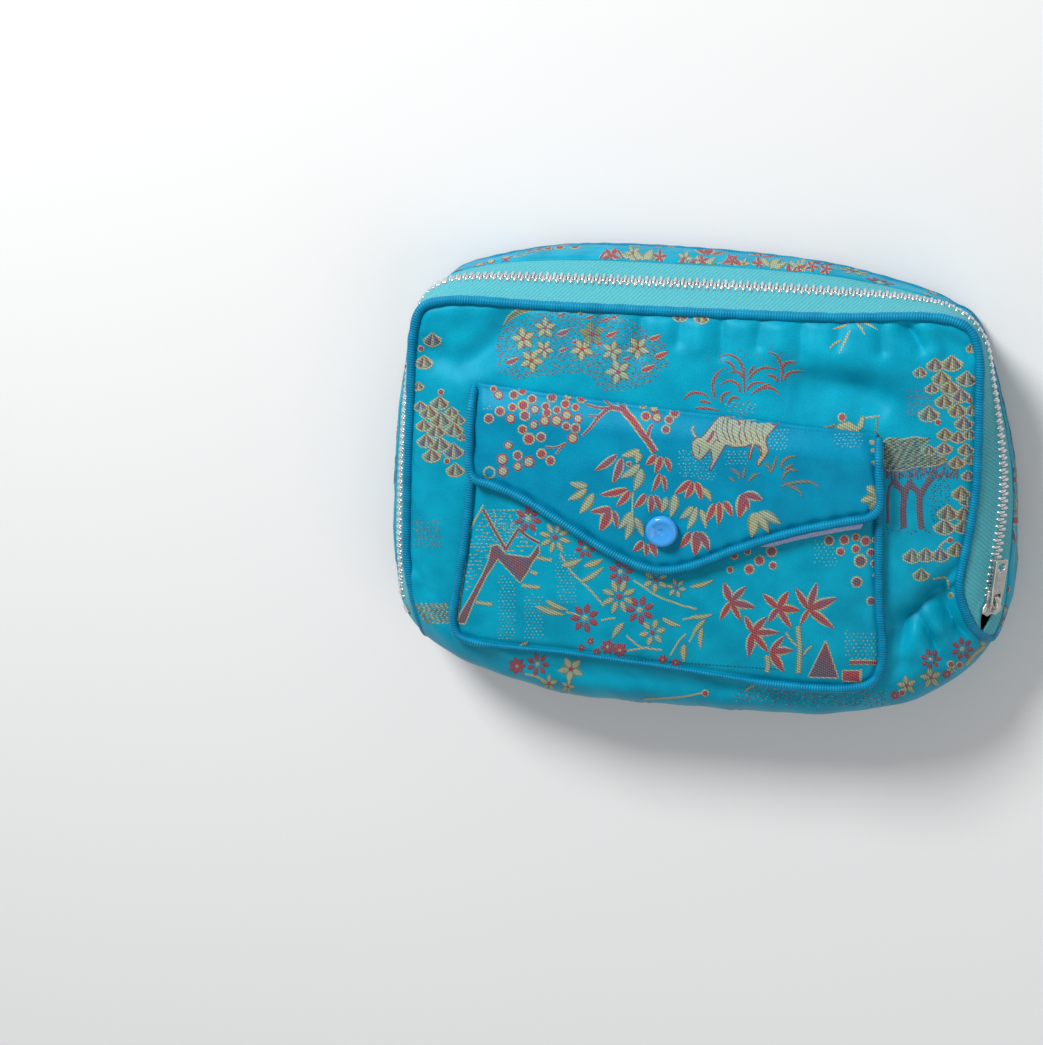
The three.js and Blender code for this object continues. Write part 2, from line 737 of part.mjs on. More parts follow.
function pocketPanel() {
  const columns = 14;
  const rows = 7;
  const points = outlineGrid(pocketCurve, pocketLeftCorner, pocketRightCorner, columns, rows, trimRoom);
  for (const point of points) point.setZ(frontHeight(point.x, point.y) + pocketLift);
  return sheet(points, gridQuads(columns, rows), pocketWall);
}

// Height of the flap's middle surface above the front: low at the fold, then clear of the pocket.
const flapRise = 9; // length of the rise
function flapHeight(x, y, full) {
  const share = smooth((foldLine(x) - y) / flapRise);
  return frontHeight(x, y) + mix(foldLift, full, share);
}

function flapPanel() {
  const columns = 18;
  const rows = 6;
  const points = outlineGrid(flapCurve, flapLeftCorner, flapRightCorner, columns, rows, trimRoom);
  for (const point of points) point.setZ(flapHeight(point.x, point.y, flapLift));
  return sheet(points, gridQuads(columns, rows), flapWall);
}

// Lining under the flap: it ends below the fold, and peeps out along the lower right wing. The wing's
// limits and slopes are in shares of the lining's width.
const liningBelowFold = 12;
const liningPeep = 0.8; // how far the lining shows past the piping
const wingStart = 0.62;
const wingEntry = 0.12;
const wingExit = 0.1;
function flapLining() {
  const columns = 16;
  const rows = 3;
  const inset = 2 * trimPipingRadius + 2 * pieceGap;
  const peep = inset + trimPipingRadius + liningPeep;
  const points = outlineGrid(flapCurve, flapLeftCorner, flapRightCorner, columns, rows, inset);
  points.forEach((point, i) => {
    const row = Math.floor(i / (columns + 1));
    const share = (i % (columns + 1)) / columns;
    const wing = smooth((share - wingStart) / wingEntry) * smooth((1 - share) / wingExit);
    if (row === 0) point.setY(point.y - peep * wing);
    const ceiling = foldLine(point.x) - liningBelowFold;
    const floor = points[i % (columns + 1)].y;
    point.setY(mix(floor, ceiling, row / rows));
    point.setZ(frontHeight(point.x, point.y) + liningLift);
  });
  return sheet(points, gridQuads(columns, rows), liningWall);
}

function trimPiping(curve, steps, heightAt) {
  const path = outlineSteps(curve, 0, 1, steps).map((t) => {
    const point = curve.getPoint(t);
    return point.setZ(heightAt(point.x, point.y));
  });
  return bead(path, path.map(() => up), trimPipingRadius, 6, false);
}

const pocketPipingHeight = (x, y) => frontHeight(x, y) + bodyWall / 2 + pieceGap + trimPipingRadius;
const flapPipingHeight = (x, y) => flapHeight(x, y, flapLift) + trimPipingRadius - flapWall / 2;

// A frame at a place on the front: z stands square on the surface that heightAt describes.
function surfaceFrame(x, y, heightAt) {
  const step = 2;
  const right = new THREE.Vector3(2 * step, 0, heightAt(x + step, y) - heightAt(x - step, y));
  const ahead = new THREE.Vector3(0, 2 * step, heightAt(x, y + step) - heightAt(x, y - step));
  const normal = right.clone().cross(ahead).normalize();
  right.normalize();
  const across = normal.clone().cross(right);
  const frame = new THREE.Matrix4().makeBasis(right, across, normal);
  return frame.setPosition(x, y, heightAt(x, y));
}

const snapX = pocketX + snapShareX * pocketWidth;
const snapY = foldLine(snapX) - snapShareDrop * flapLength;
const snapFrame = surfaceFrame(snapX, snapY, (x, y) => flapHeight(x, y, flapLift));

function lathe(rows, segments) {
  const profile = rows.map(([radius, height]) => new THREE.Vector2(radius, height));
  return new THREE.LatheGeometry(profile, segments).rotateX(Math.PI / 2);
}

// Cap of the press stud, with a low rim and a dimple, in shares of its radius and height.
function snapCap() {
  const radius = snapDiameter / 2;
  const base = flapWall / 2 + pieceGap;
  const rows = [
    [0, 0],
    [0.93, 0],
    [1, 0.3],
    [0.98, 0.62],
    [0.85, 0.93],
    [0.68, 1],
    [0.5, 0.84],
    [0.24, 0.72],
    [0.1, 0.6],
    [0, 0.58],
  ];
  const profile = rows.map(([r, h]) => [r * radius, base + h * snapHeight]);
  return lathe(profile, 16).applyMatrix4(snapFrame);
}

// Hidden stud that joins the cap to the pocket through the flap and its lining.
const studHole = studDiameter / 2 + pieceGap;
function snapStud() {
  const top = flapWall / 2;
  const bottom = -(flapLift - pocketLift - pocketWall / 2 - pieceGap);
  const geometry = new THREE.CylinderGeometry(studDiameter / 2, studDiameter / 2, top - bottom, 12);
  return geometry.rotateX(Math.PI / 2).translate(0, 0, (top + bottom) / 2).applyMatrix4(snapFrame);
}

function studTunnel() {
  const length = 2 * (flapLift + snapHeight);
  const geometry = new THREE.CylinderGeometry(studHole, studHole, length, 12);
  return geometry.rotateX(Math.PI / 2).applyMatrix4(snapFrame);
}

// Solids for cuts and joins.
function toManifold(geometry) {
  const bare = geometry.clone();
  bare.deleteAttribute("normal");
  bare.deleteAttribute("uv");
  const merged = mergeVertices(bare, 1e-4);
  return new wasm.Manifold(
    new wasm.Mesh({
      numProp: 3,
      vertProperties: merged.attributes.position.array,
      triVerts: new Uint32Array(merged.index.array),
    }),
  );
}

function fromManifold(made) {
  const mesh = made.getMesh();
  const geometry = new THREE.BufferGeometry();
  geometry.setAttribute("position", new THREE.BufferAttribute(mesh.vertProperties, 3));
  return geometry.setIndex(new THREE.BufferAttribute(mesh.triVerts, 1));
}

const cut = (geometry, tool) => fromManifold(toManifold(geometry).subtract(toManifold(tool)));
const join = (...parts) =>
  fromManifold(parts.map(toManifold).reduce((whole, part) => whole.add(part)));

// Frame of the slider: x along the closed chain, y across it towards the front, z out of the gusset.
const sliderPlace = pastEnd(rightGussetEnd, sliderSetBack);
function sliderFrame() {
  const origin = chainLine(sliderPlace);
  const normal = gussetNormal(sliderPlace, chainMiddle);
  const ahead = chainLine(sliderPlace + 0.004).sub(chainLine(sliderPlace - 0.004)).normalize();
  const across = normal.clone().cross(ahead).normalize();
  const along = across.clone().cross(normal);
  return new THREE.Matrix4().makeBasis(along, across, normal).setPosition(origin);
}
const sliderMatrix = sliderFrame();

const plateUnder = tapeWall / 2 + sliderRoom;
const plateTop = plateUnder + sliderPlate;
const hingeHeight = plateTop + (crownRise - crownThickness) / 2;

// Half the outline of a slider plate, from the end where the closed chain leaves it to the notch
// between its two pointed wings, in shares of its half length and half width.
const plateRows = [
  [1, 0.69],
  [0, 0.69],
  [-0.55, 1],
  [-0.8, 1],
  [-1, 0.45], // point of a wing
  [-0.8, 0], // notch
];
const postShare = 0.55; // length of the post between the plates, as a share of the slider's

function plateShape() {
  const half = plateRows.map(
    ([x, y]) => new THREE.Vector2((x * sliderLength) / 2, (y * sliderWidth) / 2),
  );
  const mirrored = half
    .slice(0, -1)
    .reverse()
    .map(({ x, y }) => new THREE.Vector2(x, -y));
  return new THREE.Shape([...half, ...mirrored]);
}

const extrude = (shape, thickness) =>
  new THREE.ExtrudeGeometry(shape, { depth: thickness, bevelEnabled: false, curveSegments: 5 });

function crownShape() {
  const half = crownLength / 2;
  const shape = new THREE.Shape();
  shape.moveTo(half, 0);
  shape.absellipse(0, 0, half, crownRise, 0, Math.PI, false);
  shape.lineTo(-half + crownThickness, 0);
  shape.absellipse(0, 0, half - crownThickness, crownRise - crownThickness, Math.PI, 0, true);
  shape.closePath();
  return shape;
}

function zipSlider() {
  const topPlate = extrude(plateShape(), sliderPlate).translate(0, 0, plateUnder);
  const lowerPlate = extrude(plateShape(), sliderPlate).translate(0, 0, -plateTop);
  const postLength = sliderLength * postShare;
  const post = new THREE.BoxGeometry(postLength, postWidth, 2 * plateTop - sliderPlate);
  const crown = extrude(crownShape(), crownWidth)
    .translate(0, 0, -crownWidth / 2)
    .rotateX(Math.PI / 2)
    .translate(0, 0, plateTop - crownSink);
  return join(topPlate, lowerPlate, post, crown).applyMatrix4(sliderMatrix);
}

// Pull tab: it turns on a bar under the crown, and has a slot for the crown and a window at its end.
function pullTab() {
  const half = tabWidth / 2;
  const start = -tabBarLength / 2;
  const end = start + tabLength;
  const shoulder = tabSlotReach + tabShoulder;
  const shape = new THREE.Shape();
  shape.moveTo(start, -half * tabNeck);
  shape.lineTo(shoulder, -half);
  shape.lineTo(end - tabCorner, -half);
  shape.quadraticCurveTo(end, -half, end, -half + tabCorner);
  shape.lineTo(end, half - tabCorner);
  shape.quadraticCurveTo(end, half, end - tabCorner, half);
  shape.lineTo(shoulder, half);
  shape.lineTo(start, half * tabNeck);
  shape.closePath();
  const slot = new THREE.Path();
  slot.moveTo(tabBarLength / 2, -tabSlotWidth / 2);
  slot.lineTo(tabBarLength / 2, tabSlotWidth / 2);
  slot.lineTo(tabSlotReach, tabSlotWidth / 2);
  slot.lineTo(tabSlotReach, -tabSlotWidth / 2);
  slot.closePath();
  const window = new THREE.Path();
  const windowX = end - tabWindowWall - tabWindowWidth / 2;
  window.absarc(windowX, 0, tabWindowWidth / 2, 0, 2 * Math.PI, true);
  shape.holes.push(slot, window);
  return extrude(shape, tabThickness)
    .translate(0, 0, hingeHeight - tabThickness / 2)
    .applyMatrix4(sliderMatrix);
}

// Small clamp at the hidden end of the chain.
function bottomStop() {
  const place = pastEnd(leftGussetEnd, gussetEndLength / 2 + pieceGap + stopLength / 2);
  const origin = chainLine(place);
  const normal = gussetNormal(place, chainMiddle);
  const ahead = chainLine(place + 0.003).sub(chainLine(place - 0.003)).normalize();
  const across = normal.clone().cross(ahead).normalize();
  const frame = new THREE.Matrix4().makeBasis(across.clone().cross(normal), across, normal);
  return new THREE.BoxGeometry(stopLength, chainWidth - pieceGap, toothThickness).applyMatrix4(
    frame.setPosition(origin),
  );
}

const material = (color, roughness, metalness = 0) =>
  new THREE.MeshStandardMaterial({ color, roughness, metalness });
const brocade = material(0x0f9dbb, 0.45);
const flapBrocade = material(0x087f9e, 0.45);
const piping = material(0x0f8fd0, 0.5);
const tape = material(0x6cc3c8, 0.8);
const silver = material(0xc8ccd0, 0.3, 1);
const nickel = material(0x9a9ea2, 0.35, 1);
const snapBlue = material(0x4f9bee, 0.25);
const lavender = material(0xa9b4dc, 0.7);

const purse = new THREE.Group();
function addPiece(name, geometry, look) {
  const mesh = new THREE.Mesh(geometry, look);
  mesh.name = name;
  purse.add(mesh);
}

addPiece("body_shell", bodyShell(), brocade);
addPiece("gusset_strip", gussetBand(fixed(stripStart), stripEnd, 2, stripWall), brocade);
addPiece("zip_tape_front", gussetBand(fixed(seamRoom), fixed(frontTapeEdge), 1, tapeWall), tape);
addPiece("zip_tape_back", gussetBand(fixed(backTapeEdge), fixed(backTapeEnd), 1, tapeWall), tape);
addPiece("zip_teeth_front", toothComb(-1), silver);
addPiece("zip_teeth_back", toothComb(1), silver);
addPiece("zip_bottom_stop", bottomStop(), nickel);
addPiece("zip_slider", zipSlider(), nickel);
addPiece("zip_pull_tab", pullTab(), nickel);
addPiece("edge_piping", edgePiping(), piping);
addPiece("pocket_panel", pocketPanel(), brocade);
addPiece("pocket_piping", trimPiping(pocketCurve, 35, pocketPipingHeight), piping);
addPiece("pocket_flap", cut(flapPanel(), studTunnel()), flapBrocade);
addPiece("flap_lining", cut(flapLining(), studTunnel()), lavender);
addPiece("flap_piping", trimPiping(flapCurve, 33, flapPipingHeight), piping);
addPiece("snap_cap", snapCap(), snapBlue);
addPiece("snap_stud", snapStud(), nickel);

export default purse;
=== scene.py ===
"""A brocade zip purse that lies on its back. Lengths are millimetres until a mesh is made."""

import math

import bpy
import numpy as np
from mathutils import Matrix, Vector
from mathutils.bvhtree import BVHTree
from mathutils.geometry import delaunay_2d_cdt
from mathutils.interpolate import poly_3d_calc


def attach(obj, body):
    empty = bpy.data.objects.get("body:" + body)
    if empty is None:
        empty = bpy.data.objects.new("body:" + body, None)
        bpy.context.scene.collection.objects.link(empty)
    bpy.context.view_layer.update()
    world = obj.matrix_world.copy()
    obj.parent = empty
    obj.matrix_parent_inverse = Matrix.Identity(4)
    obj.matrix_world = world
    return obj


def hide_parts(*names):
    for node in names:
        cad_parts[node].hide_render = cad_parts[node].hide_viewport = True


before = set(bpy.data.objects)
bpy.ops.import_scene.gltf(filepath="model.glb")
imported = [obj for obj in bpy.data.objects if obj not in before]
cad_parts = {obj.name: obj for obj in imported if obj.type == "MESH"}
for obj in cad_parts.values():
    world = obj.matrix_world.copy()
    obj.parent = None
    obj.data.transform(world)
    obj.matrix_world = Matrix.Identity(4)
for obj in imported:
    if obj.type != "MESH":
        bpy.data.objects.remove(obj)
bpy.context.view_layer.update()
MM = 0.001

# The purse's own sizes, as in its solids.
PANEL_WIDTH, PANEL_HEIGHT = 168.0, 114.0
SEAM_HEIGHT, BACK_SEAM_HEIGHT, CROWN_HEIGHT = 31.0, 3.0, 8.0
DEPTH = SEAM_HEIGHT - BACK_SEAM_HEIGHT
BODY_WALL, POCKET_WALL, LINING_WALL, FLAP_WALL, TAPE_WALL = 1.5, 1.2, 1.0, 1.2, 1.0
EDGE_PIPING, TRIM_PIPING, PIECE_GAP = 1.4, 1.3, 0.3
CHAIN_MIDDLE, CHAIN_WIDTH, TOOTH_PITCH = 10.25, 4.5, 2.1
BACK_TAPE_END = 18.8
GUSSET_END_LENGTH = 18.0
SLIDER_SET_BACK, SLIDER_LENGTH, SLIDER_WIDTH = 7.0, 8.5, 7.4
POCKET_WIDTH, POCKET_HEIGHT, FLAP_LENGTH, FLAP_TILT = 125.0, 70.0, 52.0, -0.07
FOLD_ABOVE_POCKET, POCKET_MOUTH = 18.0, 0.443
SNAP_DIAMETER, SNAP_HEIGHT = 9.5, 2.2

# Thickness that the meshes of the cloths get, and the height of the back's outside over the floor.
BODY_CLOTH, FLAP_CLOTH, TAPE_CLOTH, LINING_CLOTH = 0.9, 0.8, 0.7, 0.5
BACK_LIFT = 0.26
# Share of its radius by which gathered piping swells and shrinks.
PIPING_CRIMP = 0.05
# A short step between stations, for directions along the seams.
STATION_STEP = 0.002
# Points that are compared with a border at one time.
BATCH = 4000

STATION_COLUMNS = ["x", "y", "outset", "front_angle", "back_angle", "fullness"]
STATIONS = np.array([
    [-0.03, -0.474, 0.22, 11, 50, 0.62],
    [0.25, -0.474, 0.21, 12, 50, 0.57],
    [0.38, -0.434, 0.24, 14, 55, 0.51],
    [0.443, -0.355, 0.36, 18, 60, 0.5],
    [0.464, -0.27, 0.48, 16, 68, 0.5],
    [0.471, -0.158, 0.53, 14, 78, 0.47],
    [0.487, 0.07, 0.37, 28, 86, 0.44],
    [0.483, 0.316, 0.13, 60, 88, 0.42],
    [0.476, 0.447, -0.02, 75, 88, 0.42],
    [0.458, 0.503, -0.1, 85, 88, 0.42],
    [0.42, 0.525, -0.08, 75, 88, 0.42],
    [0.226, 0.515, 0.27, 60, 82, 0.42],
    [-0.03, 0.511, 0.4, 56, 80, 0.42],
    [-0.268, 0.51, 0.37, 56, 80, 0.42],
    [-0.443, 0.51, 0.1, 62, 85, 0.42],
    [-0.484, 0.489, -0.04, 75, 88, 0.42],
    [-0.5, 0.425, 0.07, 80, 88, 0.42],
    [-0.508, 0.237, 0.25, 78, 88, 0.42],
    [-0.518, -0.044, 0.3, 75, 86, 0.42],
    [-0.517, -0.254, 0.28, 70, 80, 0.45],
    [-0.496, -0.34, 0.26, 42, 68, 0.48],
    [-0.443, -0.4, 0.24, 22, 60, 0.47],
    [-0.356, -0.441, 0.22, 14, 52, 0.52],
    [-0.208, -0.468, 0.24, 11, 50, 0.61],
])
CORNER = {"bottom_right": 3 / 24, "right_end": 5 / 24, "top_right": 9 / 24,
          "top_left": 15 / 24, "left_end": 19 / 24, "bottom_left": 21 / 24}

POCKET_ROWS = np.array([
    [-0.468, 0.486], [-0.492, 0.057], [-0.519, -0.229], [-0.527, -0.335], [-0.515, -0.41],
    [-0.467, -0.437], [-0.256, -0.443], [-0.024, -0.47], [0.276, -0.519], [0.44, -0.514],
    [0.494, -0.477], [0.513, -0.38], [0.498, -0.071], [0.485, 0.4],
])
FLAP_ROWS = np.array([
    [-0.469, 0.03], [-0.474, 0.3], [-0.475, 0.49], [-0.462, 0.56], [-0.416, 0.58],
    [-0.344, 0.628], [-0.248, 0.735], [-0.152, 0.85], [-0.06, 0.93], [-0.008, 0.94],
    [0.056, 0.895], [0.172, 0.745], [0.308, 0.6], [0.42, 0.512], [0.466, 0.478],
    [0.488, 0.415], [0.484, 0.237], [0.477, 0.03],
])
POCKET_CORNERS, FLAP_CORNERS = (4 / 13, 10 / 13), (3 / 17, 15 / 17)
POCKET_X, POCKET_Y = -0.036 * PANEL_WIDTH, -0.149 * PANEL_HEIGHT

# Folds of the front. A row is the fold's route, as x and y of each place on it, then its reach across
# and its height, which is negative for a valley.
FOLDS = [
    [-77.3, 42.2, -56.3, 52.4, 6.0, -2.4],
    [26.9, 42.8, 53.8, 37.1, 7.6, -1.28],
    [59.6, 56.4, 77.3, 51.3, 4.0, -1.6],
    [78.1, -17.7, 61.3, -33.1, 4.4, -2.4],
    [68.0, -26.8, 63.8, -41.0, 3.2, 1.6],
    [73.9, -25.7, 84.0, -38.8, 4.0, -1.92],
    [-60.5, -54.2, 48.7, -57.0, 4.8, -1.12],
    # The rest are finer, and the solids leave them out.
    [-76.4, 42.2, -70.3, 38.5, -64.7, 41.1, -59.7, 44.7, -55.7, 49.4, 4.0, -2.2],
    [-79.6, 48.0, -73.5, 44.3, -67.9, 46.9, -62.9, 50.5, -58.9, 55.2, 3.4, 1.0],
    [75.1, -19.7, 71.2, -22.9, 67.6, -27.4, 65.1, -30.4, 64.2, -35.0, 63.4, -40.0, 63.1, -45.1,
     2.2, -3.0],
    [67.1, -29.6, 69.6, -32.6, 71.6, -36.2, 73.2, -39.5, 74.9, -42.5, 76.8, -44.5, 1.5, -2.6],
    [74.8, -22.6, 75.0, -26.4, 76.7, -30.0, 79.3, -33.3, 81.5, -35.6, 83.4, -37.6, 1.8, -2.8],
    [76.5, -21.1, 77.0, -25.0, 78.3, -26.9, 1.1, -1.2],
    [76.5, -19.2, 78.7, -17.0, 1.5, 1.4],
    [68.2, -36.8, 70.5, -41.7, 72.2, -45.9, 2.6, 0.9],
    [69.9, -25.9, 72.4, -30.4, 75.6, -34.9, 78.4, -38.4, 2.0, 0.9],
    [28.3, 39.6, 41.4, 38.2, 50.0, 36.6, 56.9, 33.4, 5.4, -3.6],
    [24.3, 48.8, 40.2, 48.2, 52.7, 46.2, 60.0, 42.4, 4.6, 1.2],
    [58.6, 58.5, 63.5, 51.5, 1.9, -1.9],
    [64.5, 57.5, 68.0, 51.0, 2.2, 1.1],
    [-28.1, 58.0, -28.6, 49.0, 1.9, -1.2],
    [-22.4, 58.0, -22.0, 50.0, 2.2, 0.7],
    [-16.4, 58.0, -16.0, 46.0, 1.8, -1.3],
    [-4.8, 58.0, -5.2, 50.0, 1.9, -1.2],
    [1.0, 58.0, 1.4, 49.0, 2.2, 0.7],
    [6.7, 58.0, 7.4, 47.0, 1.8, -1.3],
    [18.2, 58.0, 17.6, 50.0, 1.8, -1.2],
    [24.0, 58.0, 24.6, 50.0, 2.2, 0.7],
    [29.6, 58.0, 30.2, 48.0, 1.9, -1.3],
    [40.9, 58.0, 40.4, 51.0, 1.8, -1.2],
    [52.2, 58.0, 53.0, 50.0, 1.9, -1.2],
    [-60.0, 47.0, -36.0, 50.0, 6.0, -0.7],
    [-78.0, 20.0, -76.0, -10.0, 5.0, 0.5],
    [-86.4, -24.1, -80.0, -33.5, 1.7, -0.8],
    [-84.0, -29.0, -78.0, -38.0, 1.7, 0.5],
    [-82.5, -33.0, -76.0, -43.0, 1.8, -0.7],
    [10.0, -57.0, 38.0, -60.5, 2.6, -0.9],
    [-50.0, -58.5, -12.0, -59.5, 2.4, 0.5],
]

# The photograph's frame and its camera: degrees, millimetres, and millimetres in a pixel at the aim.
IMAGE_WIDTH, IMAGE_HEIGHT = 1043, 1045
CAMERA_AZIMUTH, CAMERA_TILT, CAMERA_DISTANCE, PIXEL = 11.0, 20.0, 700.0, 0.30
CAMERA_AIM = np.array([-51.0, -8.4, 34.0])
FOCAL = CAMERA_DISTANCE / PIXEL
azimuth, tilt = math.radians(CAMERA_AZIMUTH), math.radians(CAMERA_TILT)
TOWARDS = np.array([math.sin(azimuth) * math.cos(tilt), math.sin(tilt),
                    math.cos(azimuth) * math.cos(tilt)])
UPWARDS = np.array([0.0, 1.0, 0.0]) - TOWARDS[1] * TOWARDS
UPWARDS /= np.linalg.norm(UPWARDS)
SIDEWAYS = np.cross(UPWARDS, TOWARDS)
CAMERA_PLACE = CAMERA_AIM + CAMERA_DISTANCE * TOWARDS


def unit(v):
    return v / np.maximum(np.linalg.norm(v, axis=-1, keepdims=True), 1e-12)


def smooth(share):
    s = np.clip(share, 0, 1)
    return s * s * (3 - 2 * s)


def mix(a, b, share):
    return a + (b - a) * share


def run_of(points):
    """Length along a line of points, from 0 at its first point."""
    return np.concatenate([[0], np.linalg.norm(np.diff(points, axis=0), axis=1).cumsum()])


# Surfaces of the purse, as functions of a place in plan or of a station t round it.
def station(name, t):
    key = STATION_COLUMNS.index(name)
    place = np.mod(t, 1.0) * len(STATIONS)
    row = np.floor(place).astype(int)
    a, b, c, d = (STATIONS[(row + k) % len(STATIONS), key] for k in (-1, 0, 1, 2))
    s = place - row
    return b + 0.5 * s * (c - a + s * (2 * a - 5 * b + 4 * c - d + s * (3 * (b - c) + d - a)))


def crown(x, y):
    across = np.minimum(np.abs((x + 0.0155 * PANEL_WIDTH) / (PANEL_WIDTH / 2)), 1.05)
    past = np.clip((y - 0.01 * PANEL_HEIGHT) / (PANEL_HEIGHT / 2), -1.3, 1.05) + 0.25
    fill = np.where(past > 0, 1 - (past / 1.25) ** 3, 1 - 0.5 * (past / 0.75) ** 2)
    return SEAM_HEIGHT + CROWN_HEIGHT * (1 - across ** 3) * fill


def folds(x, y):
    """Height of the folds. A fold with more than two places on its route tapers towards its ends."""
    height = np.zeros_like(x)
    for *route, reach, depth in FOLDS:
        places = np.array(route).reshape(-1, 2)
        away, along = np.full_like(x, np.inf), np.zeros_like(x)
        count = len(places) - 1
        for k in range(count):
            (x0, y0), (dx, dy) = places[k], places[k + 1] - places[k]
            share = np.clip(((x - x0) * dx + (y - y0) * dy) / (dx * dx + dy * dy), 0, 1)
            here = (x - x0 - share * dx) ** 2 + (y - y0 - share * dy) ** 2
            along = np.where(here < away, (k + share) / count, along)
            away = np.minimum(away, here)
        taper = 0.3 + 0.7 * np.sin(math.pi * along) ** 0.7 if count > 1 else 1.0
        height += depth * taper * np.exp(-away / reach ** 2)
    return height


def ripple(x, y, size, height):
    """Soft unevenness of cloth: a sum of waves with set phases."""
    total = np.zeros_like(x)
    for turn, phase, pitch in ((0.4, 0.3, 1.0), (1.7, 2.1, 0.71), (2.6, 4.0, 1.37), (3.5, 1.2, 0.53)):
        total = total + np.sin((x * math.cos(turn) + y * math.sin(turn)) * 2 * math.pi
                               / (size * pitch) + phase)
    return height * total / 4


def centripetal(rows, t, closed):
    """A centripetal Catmull-Rom curve through rows, as the solids' outlines use."""
    count = len(rows)
    if closed:
        place = np.mod(t, 1.0) * count
        row = np.floor(place).astype(int)
        p0, p1, p2, p3 = (rows[(row + k) % count] for k in (-1, 0, 1, 2))
    else:
        place = np.clip(t, 0, 1) * (count - 1)
        row = np.minimum(np.floor(place).astype(int), count - 2)
        longer = np.vstack([2 * rows[0] - rows[1], rows, 2 * rows[-1] - rows[-2]])
        p0, p1, p2, p3 = (longer[row + k] for k in (0, 1, 2, 3))
    s = (place - row)[:, None]
    d0, d1, d2 = (np.maximum(np.linalg.norm(b - a, axis=1), 1e-6)[:, None] ** 0.5
                  for a, b in ((p0, p1), (p1, p2), (p2, p3)))
    m1 = ((p1 - p0) / d0 - (p2 - p0) / (d0 + d1) + (p2 - p1) / d1) * d1
    m2 = ((p2 - p1) / d1 - (p3 - p1) / (d1 + d2) + (p3 - p2) / d2) * d1
    return (p1 + s * (m1 + s * (3 * (p2 - p1) - 2 * m1 - m2
                                + s * (2 * (p1 - p2) + m1 + m2))))


SEAM_ROWS = STATIONS[:, :2] * [PANEL_WIDTH, PANEL_HEIGHT]


def front_seam(t):
    xy = centripetal(SEAM_ROWS, np.atleast_1d(t), True)
    return np.column_stack([xy, crown(xy[:, 0], xy[:, 1])])


def facing(point_at, t, step=STATION_STEP):
    along = point_at(t + step) - point_at(t - step)
    return unit(np.column_stack([along[:, 1], -along[:, 0], np.zeros(len(along))]))


def back_seam(t):
    point = front_seam(t) + facing(front_seam, t) * (station("outset", t) * DEPTH)[:, None]
    point[:, 2] = BACK_SEAM_HEIGHT
    return point


SIDE_ROWS, SIDE_STEPS = 2400, 48


def side_table():
    """Evenly spaced points down the side of the purse at many stations, and each side's length."""
    t = np.arange(SIDE_ROWS) / SIDE_ROWS
    out, start, end = facing(front_seam, t), front_seam(t), back_seam(t)
    reach = (station("fullness", t) * DEPTH)[:, None]
    fall, rise = (np.radians(station(k, t))[:, None] for k in ("front_angle", "back_angle"))
    down = np.array([0, 0, 1.0])
    leave = start + reach * (out * np.cos(fall) - down * np.sin(fall))
    arrive = end + reach * (out * np.cos(rise) + down * np.sin(rise))
    u = np.linspace(0, 1, 129)[None, :, None]
    curve = ((1 - u) ** 3 * start[:, None] + 3 * u * (1 - u) ** 2 * leave[:, None]
             + 3 * u * u * (1 - u) * arrive[:, None] + u ** 3 * end[:, None])
    run = np.linalg.norm(np.diff(curve, axis=1), axis=2).cumsum(1)
    run = np.hstack([np.zeros((SIDE_ROWS, 1)), run])
    points = np.empty((SIDE_ROWS, SIDE_STEPS + 1, 3))
    for i in range(SIDE_ROWS):
        even = np.linspace(0, run[i, -1], SIDE_STEPS + 1)
        for k in range(3):
            points[i, :, k] = np.interp(even, run[i], curve[i, :, k])
    return points, run[:, -1]


SIDES, SIDE_LENGTHS = side_table()


def side_length(t):
    place = np.mod(t, 1.0) * SIDE_ROWS
    i = np.floor(place).astype(int) % SIDE_ROWS
    return mix(SIDE_LENGTHS[i], SIDE_LENGTHS[(i + 1) % SIDE_ROWS], place - np.floor(place))


def side_share(t, share):
    t, share = np.broadcast_arrays(np.asarray(t, float), np.asarray(share, float))
    place = np.mod(t, 1.0) * SIDE_ROWS
    i = np.floor(place).astype(int) % SIDE_ROWS
    f = (place - np.floor(place))[..., None]
    level = np.clip(share, 0, 1) * SIDE_STEPS
    j = np.minimum(np.floor(level).astype(int), SIDE_STEPS - 1)
    g = (level - j)[..., None]
    k = (i + 1) % SIDE_ROWS
    return mix(mix(SIDES[i, j], SIDES[i, j + 1], g), mix(SIDES[k, j], SIDES[k, j + 1], g), f)


def on_side(t, distance):
    t = np.asarray(t, float)
    return side_share(t, distance / side_length(t))


def side_normal(t, distance):
    along = on_side(t + STATION_STEP, distance) - on_side(t - STATION_STEP, distance)
    across = on_side(t, distance + 1) - on_side(t, distance - 1)
    return unit(np.cross(across, along))


FINE_STATIONS = np.linspace(0, 1, SIDE_ROWS + 1)
SEAM_RUN = run_of(front_seam(FINE_STATIONS))


def run_at(table, t):
    """Length along a loop at station t. table has its length at each fine station."""
    return np.floor(t) * table[-1] + np.interp(np.mod(t, 1.0), FINE_STATIONS, table)


def station_at(table, run):
    return np.floor(run / table[-1]) + np.interp(np.mod(run, table[-1]), table, FINE_STATIONS)


def past_end(end, distance):
    """The station that lies a distance past one end of the gusset, or before it if negative."""
    sign = -1 if end == CORNER["right_end"] else 1
    return station_at(SEAM_RUN, run_at(SEAM_RUN, end) + sign * np.asarray(distance, float))


def end_reach(end, share, clearance):
    half = side_length(np.array(end)) / 2
    level = (np.asarray(share) - 0.5) * 2 * half / (half + clearance)
    return (GUSSET_END_LENGTH + clearance) * np.sqrt(np.maximum(0, 1 - level ** 2))


def even_steps(point_at, start, end, count):
    t = np.linspace(start, end, 1200)
    run = run_of(point_at(t))
    return np.interp(np.linspace(0, run[-1], count + 1), run, t)


